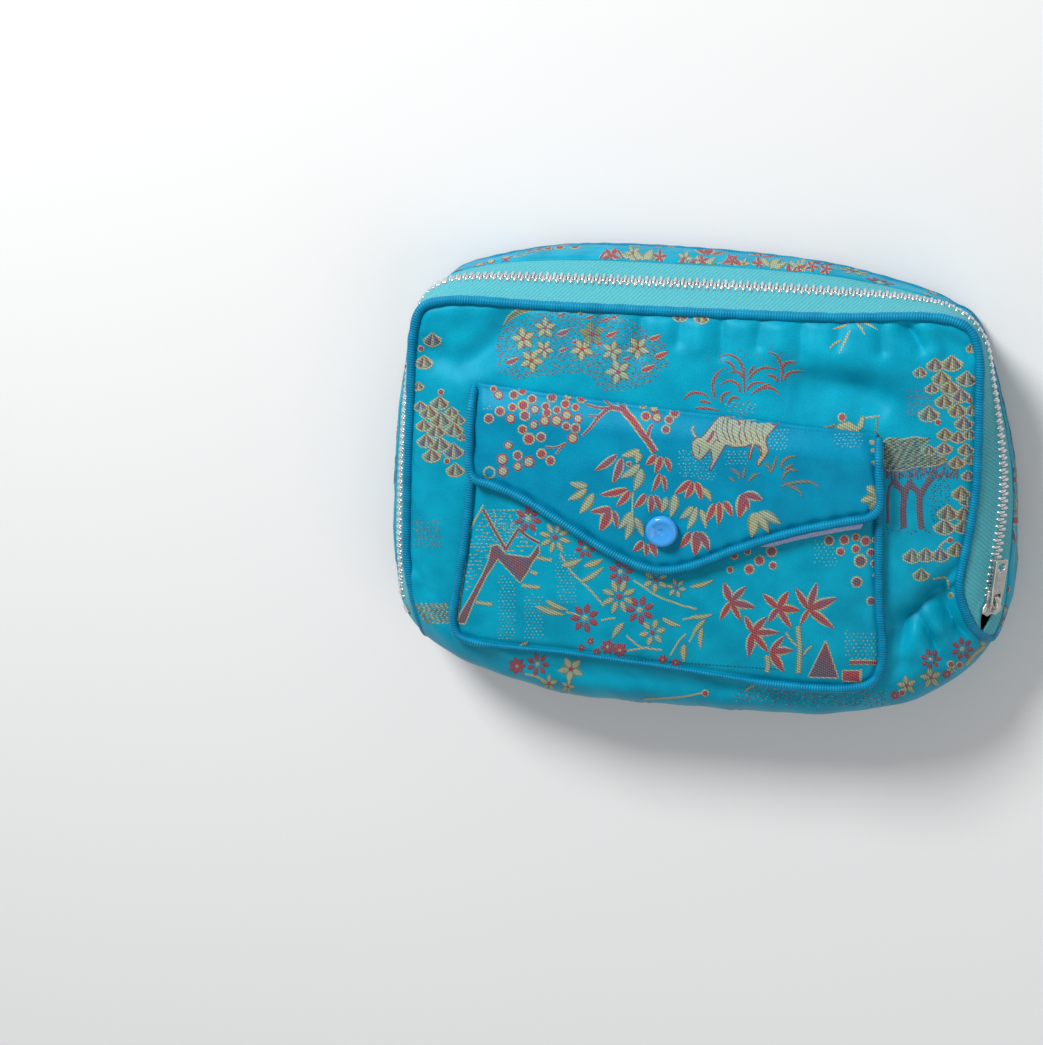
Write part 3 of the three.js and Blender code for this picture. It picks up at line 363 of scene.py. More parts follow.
def coons(bottom, right, top, left):
    """Points between four edges. bottom and top run to the right, left and right run up."""
    u = np.linspace(0, 1, len(bottom))[None, :, None]
    v = np.linspace(0, 1, len(left))[:, None, None]
    ruled = mix(bottom[None], top[None], v) + mix(left[:, None], right[:, None], u)
    corners = mix(mix(bottom[0], bottom[-1], u), mix(top[0], top[-1], u), v)
    return ruled - corners


def quads(rows, columns, start=0, flip=False):
    i, j = np.meshgrid(np.arange(columns), np.arange(rows))
    a = start + j * (columns + 1) + i
    made = np.stack([a, a + 1, a + columns + 2, a + columns + 1], -1).reshape(-1, 4)
    return made[:, ::-1] if flip else made


def ring_quads(gaps, around):
    """Faces between the neighbouring rings of a tube or a lathe."""
    i, k = np.meshgrid(np.arange(gaps), np.arange(around), indexing="ij")
    a, b = i * around + k, i * around + (k + 1) % around
    return np.stack([a, b, b + around, a + around], -1).reshape(-1, 4)


def nearest(points, border):
    """Distance from each point to the nearest place of a dense border, and that place's number."""
    away, place = np.empty(len(points)), np.empty(len(points), int)
    for start in range(0, len(points), BATCH):
        part = points[start:start + BATCH]
        squares = ((part[:, None] - border[None]) ** 2).sum(2)
        away[start:start + BATCH] = np.sqrt(squares.min(1))
        place[start:start + BATCH] = squares.argmin(1)
    return away, place


# Materials. The cloth looks are built from nodes that read the mesh's own "cloth" measure, in
# millimetres.
def linear(code):
    """A colour written as six hexadecimal digits, as linear values."""
    parts = [int(code[i:i + 2], 16) / 255 for i in (0, 2, 4)]
    return tuple(c / 12.92 if c <= 0.04045 else ((c + 0.055) / 1.055) ** 2.4 for c in parts)


class Look:
    """A material and short ways to add nodes to it."""

    def __init__(self, name, roughness, **constants):
        self.material = bpy.data.materials.new(name)
        self.material.use_nodes = True
        self.tree = self.material.node_tree
        self.shader = self.tree.nodes["Principled BSDF"]
        self.set("Roughness", roughness)
        for key, value in constants.items():
            self.set(key.replace("_", " "), value)

    def set(self, name, value):
        socket = self.shader.inputs[name]
        if isinstance(value, bpy.types.NodeSocket):
            self.tree.links.new(value, socket)
        else:
            socket.default_value = value

    def node(self, kind, inputs=(), output=0, **settings):
        made = self.tree.nodes.new(kind)
        for key, value in settings.items():
            setattr(made, key, value)
        for key, value in dict(inputs).items():
            if isinstance(value, bpy.types.NodeSocket):
                self.tree.links.new(value, made.inputs[key])
            else:
                made.inputs[key].default_value = value
        return made.outputs[output]

    def attribute(self, name, output="Vector"):
        return self.node("ShaderNodeAttribute", output=output, attribute_name=name)

    def math(self, operation, a, b=0.0):
        return self.node("ShaderNodeMath", {0: a, 1: b}, operation=operation)

    def noise(self, where, scale, detail=2.0, roughness=0.5):
        return self.node("ShaderNodeTexNoise", {"Vector": where, "Scale": scale, "Detail": detail,
                                                "Roughness": roughness})

    def ribs(self, where, along, across):
        """A wave from 0 to 1 with along and across cycles in a millimetre of the cloth's measure."""
        turn = (2 * math.pi * along, 2 * math.pi * across, 0)
        phase = self.node("ShaderNodeVectorMath", {0: where, 1: turn}, output="Value",
                          operation="DOT_PRODUCT")
        wave = self.math("MULTIPLY_ADD", self.math("SINE", phase), 0.5)
        wave.node.inputs[2].default_value = 0.5
        return wave

    def mixed(self, share, a, b):
        made = self.tree.nodes.new("ShaderNodeMix")
        made.data_type = "RGBA"
        for index, value in ((0, share), (6, a), (7, b)):
            if isinstance(value, bpy.types.NodeSocket):
                self.tree.links.new(value, made.inputs[index])
            elif index == 0:
                made.inputs[index].default_value = value
            else:
                made.inputs[index].default_value = (*value, 1.0)
        return made.outputs[2]

    def scaled(self, colour, share):
        return self.node("ShaderNodeVectorMath", {0: colour, "Scale": share}, operation="SCALE")

    def ramp(self, value, low, high, a=0.0, b=1.0):
        return self.node("ShaderNodeMapRange", {"Value": value, "From Min": low, "From Max": high,
                                                "To Min": a, "To Max": b})

    def bump(self, height, distance, strength=1.0, normal=None):
        inputs = {"Height": height, "Distance": distance * MM, "Strength": strength}
        if normal is not None:
            inputs["Normal"] = normal
        return self.node("ShaderNodeBump", inputs)


def satin(name, light, dark, roughness=0.42):
    """Satin ground of a brocade: fine warp lines, a faint twill and uneven colour."""
    look = Look(name, roughness, Specular_IOR_Level=0.32, Specular_Tint=(0.25, 0.8, 1.0, 1.0))
    where = look.attribute("cloth")
    lines = look.ribs(where, 3.1, 0.35)
    weft = look.ribs(where, 0.9, 3.4)
    patches = look.noise(where, 0.09, 3.0)
    grain = look.noise(where, 2.2, 2.0, 0.6)
    tone = look.mixed(look.ramp(patches, 0.3, 0.72), linear(dark), linear(light))
    shade = look.math("MULTIPLY", look.ramp(lines, 0, 1, 0.9, 1.06),
                      look.ramp(grain, 0.25, 0.75, 0.85, 1.12))
    look.set("Base Color", look.scaled(tone, shade))
    look.set("Roughness", look.ramp(grain, 0.2, 0.8, roughness - 0.06, roughness + 0.1))
    height = look.math("ADD", look.math("MULTIPLY", lines, 0.7), look.math("MULTIPLY", weft, 0.5))
    fine = look.bump(height, 0.05, 0.35)
    look.set("Normal", look.bump(grain, 0.12, 0.3, fine))
    return look.material


def floats():
    """Woven floats of the motifs: the dye is on the mesh, and lines of ground show between threads."""
    look = Look("woven_motifs", 0.55, Specular_IOR_Level=0.3)
    where = look.attribute("cloth")
    dye = look.attribute("dye", "Color")
    upright = look.ribs(where, 1.75, 0.1)
    crossing = look.ribs(where, 0.55, 1.15)
    grain = look.noise(where, 1.6, 2.0)
    gap = look.math("MULTIPLY", look.ramp(upright, 0.42, 0.02, 0.0, 0.8),
                    look.ramp(grain, 0.3, 0.6, 0.25, 1.0))
    # The crossing ribs lighten and darken the dye. This is partly the threads' own pale and dark stripes
    # and partly painted shade of the rib relief.
    shade = look.math("MULTIPLY", look.ramp(grain, 0.25, 0.75, 0.82, 1.12),
                      look.ramp(crossing, 0, 1, 0.68, 1.14))
    look.set("Base Color", look.mixed(gap, look.scaled(dye, shade), linear("0a7f9a")))
    look.set("Normal", look.bump(look.math("ADD", upright, look.math("MULTIPLY", crossing, 1.2)),
                                 0.14, 0.7))
    return look.material


def corded(name, light, dark):
    """Cloth bound over a cord: cross ribs round the tube, with broad soft swells."""
    look = Look(name, 0.4, Specular_IOR_Level=0.35, Specular_Tint=(0.3, 0.8, 1.0, 1.0))
    where = look.attribute("cloth")
    rib = look.ribs(where, 1.28, 0.1)
    broad = look.noise(where, 0.16, 2.0)
    grain = look.noise(where, 2.5, 2.0)
    tone = look.mixed(look.ramp(broad, 0.3, 0.7), linear(dark), linear(light))
    shade = look.math("MULTIPLY", look.ramp(rib, 0, 1, 0.72, 1.1), look.ramp(grain, 0.2, 0.8, 0.9, 1.1))
    look.set("Base Color", look.scaled(tone, shade))
    deep = look.bump(rib, 0.16, 0.7)
    look.set("Normal", look.bump(broad, 0.5, 0.25, deep))
    return look.material


def tape_cloth():
    """Twill tape: strong slanted ribs, fine threads across them."""
    look = Look("zip_tape", 0.75, Sheen_Weight=0.05, Specular_IOR_Level=0.25)
    where = look.attribute("cloth")
    rib = look.ribs(where, 0.8, 0.55)
    thread = look.ribs(where, 2.4, -0.6)
    grain = look.noise(where, 1.3, 3.0, 0.6)
    tone = look.mixed(look.ramp(rib, 0.1, 0.9), linear("45a0ac"), linear("54adb8"))
    shade = look.math("MULTIPLY", look.ramp(thread, 0, 1, 0.88, 1.06),
                      look.ramp(grain, 0.25, 0.75, 0.86, 1.12))
    look.set("Base Color", look.scaled(tone, shade))
    look.set("Normal", look.bump(thread, 0.05, 0.4, look.bump(rib, 0.12, 0.5)))
    return look.material


def metal(name, colour, roughness, dirt=0.25, scratches=0.1):
    """Metal with uneven gloss, fine scratches and dull spots."""
    look = Look(name, roughness, Metallic=1.0)
    where = look.node("ShaderNodeTexCoord", output="Object")
    spots = look.noise(where, 900.0, 3.0, 0.6)
    cloud = look.noise(where, 160.0, 2.0)
    base = linear(colour)
    dull = tuple(c * (1 - dirt) for c in base)
    look.set("Base Color", look.mixed(look.ramp(cloud, 0.35, 0.7), base, dull))
    look.set("Roughness", look.ramp(spots, 0.3, 0.75, roughness - 0.08, roughness + 0.16))
    look.set("Normal", look.bump(spots, scratches * 0.3, 0.3))
    return look.material


def moulded(name, colour):
    """Glossy moulded plastic with faint flow marks."""
    look = Look(name, 0.16, Coat_Weight=0.5, Coat_Roughness=0.06, Specular_IOR_Level=0.5)
    where = look.node("ShaderNodeTexCoord", output="Object")
    cloud = look.noise(where, 220.0, 2.0)
    base = linear(colour)
    look.set("Base Color", look.mixed(look.ramp(cloud, 0.3, 0.7), base, tuple(c * 0.9 for c in base)))
    look.set("Normal", look.bump(look.noise(where, 700.0, 1.0), 0.02, 0.2))
    return look.material


def taffeta():
    """Plain woven lining."""
    look = Look("lining", 0.7, Sheen_Weight=0.2)
    where = look.attribute("cloth")
    weave = look.math("MULTIPLY", look.ribs(where, 2.4, 0.0), look.ribs(where, 0.0, 2.4))
    grain = look.noise(where, 1.5, 2.0)
    tone = look.mixed(look.ramp(grain, 0.3, 0.7), linear("8f9cc8"), linear("b2bce0"))
    look.set("Base Color", tone)
    look.set("Normal", look.bump(weave, 0.06, 0.5))
    return look.material


GROUND = satin("brocade_ground", "04a2c0", "0089a8")
# The flap is the same satin as the ground, made darker: painted shade for the duller light and sheen on
# the tilted flap.
SHADED_FLAP_GROUND = satin("flap_ground_painted_shade", "0390b4", "027ba0", 0.4)
FLOATS = floats()
PIPING = corded("piping_cloth", "048cb4", "0377a0")
TAPE = tape_cloth()
TEETH = metal("teeth_metal", "dcdfe1", 0.26, 0.15)
NICKEL = metal("nickel", "dddbd6", 0.3, 0.28, 0.4)
SNAP = moulded("snap_plastic", "379ae6")
LINING = taffeta()


# Meshes.
def added(name, data):
    obj = bpy.data.objects.new(name, data)
    bpy.context.scene.collection.objects.link(obj)
    return obj


def make(name, points, faces, material, measure, body="purse", replaced=(), wall=0.0):
    """A smooth mesh from points in millimetres. measure is its cloth coordinates, two for each point.
    wall is the thickness that it gets on its inner side."""
    mesh = bpy.data.meshes.new(name)
    mesh.from_pydata((np.asarray(points) * MM).tolist(), [], [list(map(int, f)) for f in faces])
    mesh.update()
    mesh.polygons.foreach_set("use_smooth", [True] * len(mesh.polygons))
    if measure is not None:
        flat = np.zeros((len(points), 3), np.float32)
        flat[:, :2] = measure
        mesh.attributes.new("cloth", "FLOAT_VECTOR", "POINT").data.foreach_set("vector", flat.ravel())
    mesh.materials.append(material)
    obj = added(name, mesh)
    if wall:
        thick = obj.modifiers.new("wall", "SOLIDIFY")
        thick.thickness = wall * MM
        thick.offset = -1.0
    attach(obj, body)
    if replaced:
        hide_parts(*replaced)
    return obj


def relaxed(points, faces, share, rounds=5):
    """Points drawn towards the middle of their neighbours, each by its own share."""
    for _ in range(rounds):
        total, count = np.zeros_like(points), np.zeros(len(points))
        for k in range(4):
            a, b = faces[:, k], faces[:, (k + 1) % 4]
            for one, other in ((a, b), (b, a)):
                np.add.at(total, one, points[other])
                np.add.at(count, one, 1)
        points = mix(points, total / count[:, None], share[:, None])
    return points


def normals_of(points, faces):
    made = np.zeros_like(points)
    a, b, c, d = (points[faces[:, k]] for k in range(4))
    normal = np.cross(c - a, d - b)
    for k in range(4):
        np.add.at(made, faces[:, k], normal)
    return unit(made)


# Body: the front panel with the roll round the bottom, and the back.
COLUMNS, ROWS, CORNER_CELLS, ROLL_ROWS = 188, 132, 22, 34
RIM_CLEARANCE = 0.2
CORNER_SPREAD = 14.0
SEAM_LOOP = front_seam(np.linspace(0, 1, 1600, endpoint=False))[:, :2]


def spread_seam(t):
    return front_seam(t) + CORNER_SPREAD * facing(front_seam, t)


def seam_distance(x, y):
    """Distance in plan from the front seam, and the station of the nearest place on it."""
    away, place = nearest(np.column_stack([x.ravel(), y.ravel()]), SEAM_LOOP)
    return away.reshape(x.shape), (place / len(SEAM_LOOP)).reshape(x.shape)


def by_piping(t):
    """1 where the front seam has its piping, and 0 where the front rolls round the bottom."""
    right, left = CORNER["right_end"], CORNER["left_end"]
    return smooth((t - right + 0.004) / 0.012) * smooth((left + 0.004 - t) / 0.012)


def front_mid(x, y):
    """Middle surface of the front, with its folds and the groove beside the piping."""
    away, t = seam_distance(x, y)
    piped = by_piping(t)
    fade = mix(1.0, smooth((away - 0.6) / 3.0), piped)
    groove = -0.95 * np.exp(-(np.maximum(away - 1.2, 0) / 1.3) ** 2) * piped
    pull = ripple(x, y, 5.2, 0.16) * np.exp(-away / 5.0) * piped
    return crown(x, y) + folds(x, y) * fade + groove + pull + ripple(x, y, 34.0, 0.35) * fade


def body_rim():
    right = past_end(CORNER["right_end"], end_reach(CORNER["right_end"], 0, RIM_CLEARANCE))
    left = past_end(CORNER["left_end"], end_reach(CORNER["left_end"], 0, RIM_CLEARANCE))
    parts = [(CORNER["bottom_left"] - 1, CORNER["bottom_right"], COLUMNS),
             (CORNER["bottom_right"], right, CORNER_CELLS),
             (right, CORNER["top_right"], ROWS - CORNER_CELLS),
             (CORNER["top_right"], CORNER["top_left"], COLUMNS),
             (CORNER["top_left"], left, ROWS - CORNER_CELLS),
             (left, CORNER["bottom_left"], CORNER_CELLS)]
    return np.concatenate([even_steps(spread_seam, a, b, n)[:-1] for a, b, n in parts])


def four_edges(loop):
    def part(start, steps):
        return loop[(start + np.arange(steps + 1)) % len(loop)]

    return (part(0, COLUMNS), part(COLUMNS, ROWS), part(COLUMNS + ROWS, COLUMNS)[::-1],
            part(2 * COLUMNS + ROWS, ROWS)[::-1])


def rim_index(k):
    k = k % (2 * (COLUMNS + ROWS))
    if k <= COLUMNS:
        return k
    if k <= COLUMNS + ROWS:
        return (k - COLUMNS) * (COLUMNS + 1) + COLUMNS
    if k <= 2 * COLUMNS + ROWS:
        return ROWS * (COLUMNS + 1) + 2 * COLUMNS + ROWS - k
    return (2 * (COLUMNS + ROWS) - k) * (COLUMNS + 1)


def body_front():
    rim = body_rim()
    points = coons(*four_edges(front_seam(rim))).reshape(-1, 3)
    points[:, 2] = front_mid(points[:, 0], points[:, 1])
    measure = points[:, :2].copy()
    faces = [quads(ROWS, COLUMNS)]
    ks = np.arange(-CORNER_CELLS, COLUMNS + CORNER_CELLS + 1)
    place = np.where(ks < 0, rim[ks % len(rim)] - 1, rim[ks % len(rim)])
    row = np.array([rim_index(int(k)) for k in ks])
    rolled, marks = [], []
    start = len(points)
    share_along = (place - place[0]) / (place[-1] - place[0])
    for j in range(1, ROLL_ROWS + 1):
        share = j / ROLL_ROWS
        first = past_end(CORNER["left_end"], end_reach(CORNER["left_end"], share, RIM_CLEARANCE)) - 1
        last = past_end(CORNER["right_end"], end_reach(CORNER["right_end"], share, RIM_CLEARANCE))
        t = mix(first, last, share_along)
        line = side_share(t, share)
        fade = smooth((line[:, 2] - BACK_SEAM_HEIGHT) / DEPTH)
        swell = (folds(line[:, 0], line[:, 1]) * mix(1.0, 0.7, smooth(3 * share))
                 + ripple(line[:, 0], line[:, 2] * 1.5, 24.0, 0.45) * smooth(4 * share)) * fade
        line = line + side_normal(t, np.maximum(share * side_length(t), 1.0)) * swell[:, None]
        rolled.append(line)
        run = (share * side_length(t))[:, None]
        marks.append(measure[row] + facing(front_seam, t)[:, :2] * run)
    grid = np.vstack([row, start + np.arange(ROLL_ROWS * len(ks)).reshape(ROLL_ROWS, -1)])
    for j in range(ROLL_ROWS):
        a, b = grid[j], grid[j + 1]
        faces.append(np.column_stack([a[:-1], b[:-1], b[1:], a[1:]]))
    points = np.vstack([points, *rolled])
    measure = np.vstack([measure, *marks])
    faces = np.vstack(faces)
    away, t = seam_distance(points[:, 0], points[:, 1])
    share = 0.5 * (1 - by_piping(t)) * np.exp(-(away / 2.0) ** 2)
    share[grid[-1]] = share[grid[:, 0]] = share[grid[:, -1]] = 0
    points = relaxed(points, faces, share)
    points = points + normals_of(points, faces) * BODY_WALL / 2
    return make("front_cloth", points, faces, GROUND, measure,
                replaced=["body_shell"], wall=BODY_CLOTH)


def body_back():
    columns, rows = 110, 76
    parts = [(CORNER["bottom_left"] - 1, CORNER["bottom_right"], columns),
             (CORNER["bottom_right"], CORNER["top_right"], rows),
             (CORNER["top_right"], CORNER["top_left"], columns),
             (CORNER["top_left"], CORNER["bottom_left"], rows)]
    loop = [back_seam(even_steps(spread_seam, a, b, n)) for a, b, n in parts]
    points = coons(loop[0], loop[1], loop[2][::-1], loop[3][::-1])
    u = np.linspace(-1, 1, columns + 1)[None, :]
    v = np.linspace(-1, 1, rows + 1)[:, None]
    edge = np.minimum(1 - np.abs(u), (1 - np.abs(v)) * PANEL_HEIGHT / PANEL_WIDTH) * PANEL_WIDTH / 2
    lift = BACK_SEAM_HEIGHT * (1 - smooth(edge / 6.0)) ** 1.5
    crease = np.maximum(ripple(points[..., 0], points[..., 1], 22.0, 0.5), 0) * smooth(edge / 8.0)
    points[..., 2] = lift + crease * (lift > 0.02) + BACK_LIFT
    points = points.reshape(-1, 3)
    return make("back_cloth", points, quads(rows, columns, flip=True), GROUND, points[:, :2],
                replaced=["body_shell"], wall=BODY_CLOTH)


# Gusset: cloth strip, zip tapes, teeth, slider and the piping that runs round them.
GUSSET_CELLS, END_CELLS = 420, 26
STRAIGHT_END, GUSSET_CLEARANCE = 6.0, -0.5


def chain_line(t):
    return on_side(t, CHAIN_MIDDLE)


def gusset_rows(count, inner, outer):
    """Stations and distances of a grid over a band of the gusset, with rounded ends."""
    first = past_end(CORNER["right_end"], -STRAIGHT_END)
    last = past_end(CORNER["left_end"], -STRAIGHT_END)
    cells = even_steps(chain_line, first, last, GUSSET_CELLS)
    ts, distances = [], []
    for j in range(count + 1):
        share = j / count

        def at(t):
            return mix(inner(t), outer(t), share)

        ends = []
        for end, limit in ((CORNER["right_end"], first), (CORNER["left_end"], last)):
            level = at(np.array([end]))[0] / side_length(np.array(end))
            tip = past_end(end, end_reach(end, level, GUSSET_CLEARANCE))
            ends.append(mix(tip, limit, np.arange(END_CELLS) / END_CELLS))
        t = np.concatenate([ends[0], cells, ends[1][::-1]])
        ts.append(t)
        distances.append(at(t))
    return np.array(ts), np.array(distances)


def slider_station():
    return float(past_end(CORNER["right_end"], SLIDER_SET_BACK))


CHAIN_RUN = run_of(chain_line(FINE_STATIONS))


def chain_run(t):
    return run_at(CHAIN_RUN, t)


def parting(t):
    """Half the gap between the tapes: a slit under the closed chain, open where the zip has parted."""
    past = chain_run(np.float64(slider_station())) - chain_run(t)
    opened = smooth((past + 1.5) / 4.0) * smooth((11.5 - past) / 7.0)
    return 0.3 + 1.7 * opened


def band(name, count, inner, outer, wall, lift, material, node, wave):
    """A strip of the gusset between two distances from the front seam, raised by lift."""
    t, distance = gusset_rows(count, inner, outer)
    points = on_side(t, distance)
    normal = side_normal(t, np.clip(distance, 1.0, None))
    run = chain_run(t)
    uneven = ripple(run, distance * 2.0, 21.0, wave)
    points = points + normal * (lift(t, distance) + uneven)[..., None]
    measure = np.stack([run, distance], -1).reshape(-1, 2)
    rows, columns = t.shape[0] - 1, t.shape[1] - 1
    return make(name, points.reshape(-1, 3), quads(rows, columns, flip=True), material, measure,
                replaced=[node], wall=wall)


def corded_edge(distance, middle, half=0.9, height=0.45):
    """Lift of the tape over the cord that the teeth clamp."""
    return height * np.exp(-((distance - middle) / half) ** 2)


def tapes():
    def front_outer(t):
        return CHAIN_MIDDLE - parting(t)

    def back_inner(t):
        return CHAIN_MIDDLE + parting(t)

    def tape(name, inner, outer, cord):
        return band(name, 12, inner, outer, TAPE_CLOTH,
                    lambda t, distance: TAPE_WALL / 2 - 0.1 + corded_edge(distance, cord(t)),
                    TAPE, "zip_" + name, 0.12)

    return (tape("tape_front", lambda t: 0.5 + 0 * t, front_outer, lambda t: front_outer(t) - 0.7),
            tape("tape_back", back_inner, lambda t: BACK_TAPE_END + 0.6 + 0 * t,
                 lambda t: back_inner(t) + 0.7))


def strip():
    def lift(t, distance):
        tuck = smooth((distance - BACK_TAPE_END + 0.4) / 1.6)
        return 0.6 + 0.35 * tuck + ripple(chain_run(t), distance * 3, 13.0, 0.18) * tuck

    def inner(t):
        return BACK_TAPE_END - 0.4 + 0 * t

    def outer(t):
        return side_length(t) - 0.4

    return band("strip_cloth", 22, inner, outer, BODY_CLOTH, lift, GROUND, "gusset_strip",
                0.25)


def tube(name, path, uprights, radius, sides, closed, material, node, thin=None):
    """Piping along a path. Its radius and place vary a little, as where it was gathered."""
    path, uprights = np.asarray(path), np.asarray(uprights)
    if closed:
        along = unit(np.roll(path, -1, 0) - np.roll(path, 1, 0))
    else:
        along = unit(np.gradient(path, axis=0))
    up = unit(uprights - along * (along * uprights).sum(1, keepdims=True))
    across = np.cross(along, up)
    run = run_of(np.vstack([path, path[:1]]))
    angle = np.arange(sides) * 2 * math.pi / sides
    count = len(path)
    # A closed tube ends on a ring of its own, so that its measure doesn't turn back.
    rings = count + 1 if closed else count
    index = np.arange(rings) % count
    swell = 1 + PIPING_CRIMP * np.sin(run[:rings] * 0.9 + 1.3 * np.sin(run[:rings] * 0.23))
    if thin is not None:
        swell = swell * thin
    if not closed:
        fade = np.minimum(np.arange(rings), np.arange(rings)[::-1]) / 2
        swell = swell * np.sqrt(np.clip(0.15 + fade, 0, 1))
    ring = (up[index][:, None] * np.cos(angle)[None, :, None]
            + across[index][:, None] * np.sin(angle)[None, :, None])
    points = path[index][:, None] + ring * (radius * swell)[:, None, None]
    faces = ring_quads(rings - 1, sides)
    around = np.where(angle > math.pi, angle - 2 * math.pi, angle) * radius
    measure = np.stack(np.broadcast_arrays(run[:rings, None], around[None]), -1).reshape(-1, 2)
    return make(name, points.reshape(-1, 3), faces, material, measure, replaced=[node])


def edge_piping():
    along = even_steps(front_seam, CORNER["right_end"], CORNER["left_end"], 520)
    path = [side_share(along, 0.0)]
    up = [side_normal(along, 1.0 + 0 * along)]

    def round_end(end, forwards):
        turn = np.linspace(0, math.pi, 42)[1:-1]
        turn = turn if forwards else turn[::-1]
        t = past_end(end, GUSSET_END_LENGTH * np.sin(turn))
        share = (1 - np.cos(turn)) / 2
        path.append(side_share(t, share))
        up.append(side_normal(t, np.clip(share * side_length(t), 1.0, side_length(t) - 1.0)))

    round_end(CORNER["left_end"], True)
    path.append(side_share(along[::-1], 1.0))
    up.append(side_normal(along[::-1], side_length(along[::-1]) - 1.0))
    round_end(CORNER["right_end"], False)
    return tube("edge_piping_cloth", np.vstack(path), np.vstack(up), EDGE_PIPING, 14, True, PIPING,
                "edge_piping")


def teeth(row_side, node):
    """Pressed metal teeth: each is a rounded block that clamps the tape and reaches the middle."""
    slider = slider_station()
    start = chain_run(np.float64(slider)) + 1.0
    end = chain_run(np.float64(past_end(CORNER["left_end"], GUSSET_END_LENGTH / 2)))
    count = int((end - start) / TOOTH_PITCH)
    runs = start + (np.arange(count) + (0.0 if row_side > 0 else 0.5)) * TOOTH_PITCH
    t = station_at(CHAIN_RUN, runs)
    # A tooth in its own frame: u along the chain, v from the leg to the head, w up.
    around, levels = 10, 7
    angle = np.arange(around) * 2 * math.pi / around
    rows = []
    for i in range(levels):
        v = i / (levels - 1)
        pinch = math.sqrt(max(0.0, 1 - (2 * v - 1) ** 6)) if 0 < i < levels - 1 else 0.45
        wide = (0.56 - 0.09 * smooth((v - 0.4) / 0.3)) * pinch
        high = (1.0 - 0.1 * v) * pinch
        u = wide * np.sign(np.cos(angle)) * np.abs(np.cos(angle)) ** 0.75
        w = high * np.sign(np.sin(angle)) * np.abs(np.sin(angle)) ** 0.75
        rows.append(np.column_stack([u, np.full(around, v), w]))
    shape = np.vstack(rows)
    reach_from, reach_to = CHAIN_WIDTH / 2, -1.1
    across = mix(reach_from, reach_to, shape[:, 1]) * row_side
    points = []
    for station_t in t:
        middle = np.full(1, station_t)
        centre, normal = chain_line(middle)[0], side_normal(middle, np.full(1, CHAIN_MIDDLE))[0]
        ahead = unit(chain_line(middle + STATION_STEP) - chain_line(middle - STATION_STEP))[0]
        side = np.cross(ahead, normal)
        towards_back = side if np.dot(side, on_side(middle, CHAIN_MIDDLE + 2)[0] - centre) > 0 else -side
        points.append(centre + normal * 0.4 + shape[:, :1] * ahead + across[:, None] * towards_back
                      + shape[:, 2:] * normal)
    size = len(shape)
    sides = ring_quads(levels - 1, around)
    if row_side < 0:
        sides = sides[:, ::-1]
    caps = [list(range(around))[::row_side * -1], list(range(size - around, size))[::row_side]]
    faces = [f for n in range(count) for f in [*(sides + n * size).tolist(),
                                               *[[c + n * size for c in cap] for cap in caps]]]
    points = np.vstack(points)
    return make("teeth_front" if row_side < 0 else "teeth_back", points, faces, TEETH, points[:, :2],
                replaced=[node])


def slider_frame():
    """Matrix of the slider in metres: x along the closed chain, z out of the gusset."""
    t = np.full(1, slider_station())
    normal = side_normal(t, np.full(1, CHAIN_MIDDLE))[0]
    ahead = unit(chain_line(t + 2 * STATION_STEP) - chain_line(t - 2 * STATION_STEP))[0]
    across = unit(np.cross(normal, ahead))
    along = np.cross(across, normal)
    made = Matrix.Identity(4)
    for k in range(3):
        made[k][0], made[k][1], made[k][2] = along[k], across[k], normal[k]
        made[k][3] = chain_line(t)[0][k] * MM
    return made


PLATE, SLIDER_ROOM, CROWN_RISE, CROWN_THICKNESS = 1.0, 0.8, 2.5, 0.8
PLATE_UNDER = TAPE_WALL / 2 + SLIDER_ROOM
PLATE_TOP = PLATE_UNDER + PLATE
HINGE_HEIGHT = PLATE_TOP + (CROWN_RISE - CROWN_THICKNESS) / 2


def slab(rings, thickness, bevel, base):
    """Mesh of a flat plate with rounded edges. rings are its outline and holes, base its underside."""
    curve = bpy.data.curves.new("slab", "CURVE")
    curve.dimensions = "2D"
    curve.fill_mode = "BOTH"
    curve.bevel_depth = bevel * MM
    curve.offset = -bevel * MM
    curve.bevel_resolution = 3
    curve.extrude = max(thickness / 2 - bevel, 0.001) * MM
    for ring in rings:
        spline = curve.splines.new("POLY")
        spline.points.add(len(ring) - 1)
        for point, (x, y) in zip(spline.points, ring):
            point.co = (x * MM, y * MM, 0, 1)
        spline.use_cyclic_u = True
    obj = added("slab", curve)
    graph = bpy.context.evaluated_depsgraph_get()
    mesh = bpy.data.meshes.new_from_object(obj.evaluated_get(graph))
    bpy.data.objects.remove(obj)
    mesh.transform(Matrix.Translation((0, 0, (base + thickness / 2) * MM)))
    return mesh


def arc(x, y, rx, ry, start, end, count):
    angle = np.linspace(math.radians(start), math.radians(end), count)
    return [(x + rx * math.cos(a), y + ry * math.sin(a)) for a in angle]


def rounded(points, radius, steps=4):
    """A closed ring of points with its corners rounded."""
    points = np.array(points, float)
    made = []
    for i, point in enumerate(points):
        to_last, to_next = points[i - 1] - point, points[(i + 1) % len(points)] - point
        reach = min(radius, np.linalg.norm(to_last) * 0.45, np.linalg.norm(to_next) * 0.45)
        a, b = point + unit(to_last) * reach, point + unit(to_next) * reach
        for s in np.linspace(0, 1, steps + 1):
            made.append(tuple((1 - s) ** 2 * a + 2 * s * (1 - s) * point + s * s * b))
    return made


def join_meshes(name, meshes, material, matrix, body, replaced):
    parts = [added("part", mesh) for mesh in meshes]
    with bpy.context.temp_override(active_object=parts[0], selected_editable_objects=parts):
        bpy.ops.object.join()
    obj = parts[0]
    obj.name = obj.data.name = name
    obj.data.transform(matrix)
    obj.data.materials.clear()
    obj.data.materials.append(material)
    obj.data.polygons.foreach_set("use_smooth", [True] * len(obj.data.polygons))
    obj.data.set_sharp_from_angle(angle=math.radians(38))
    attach(obj, body)
    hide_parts(*replaced)
    return obj


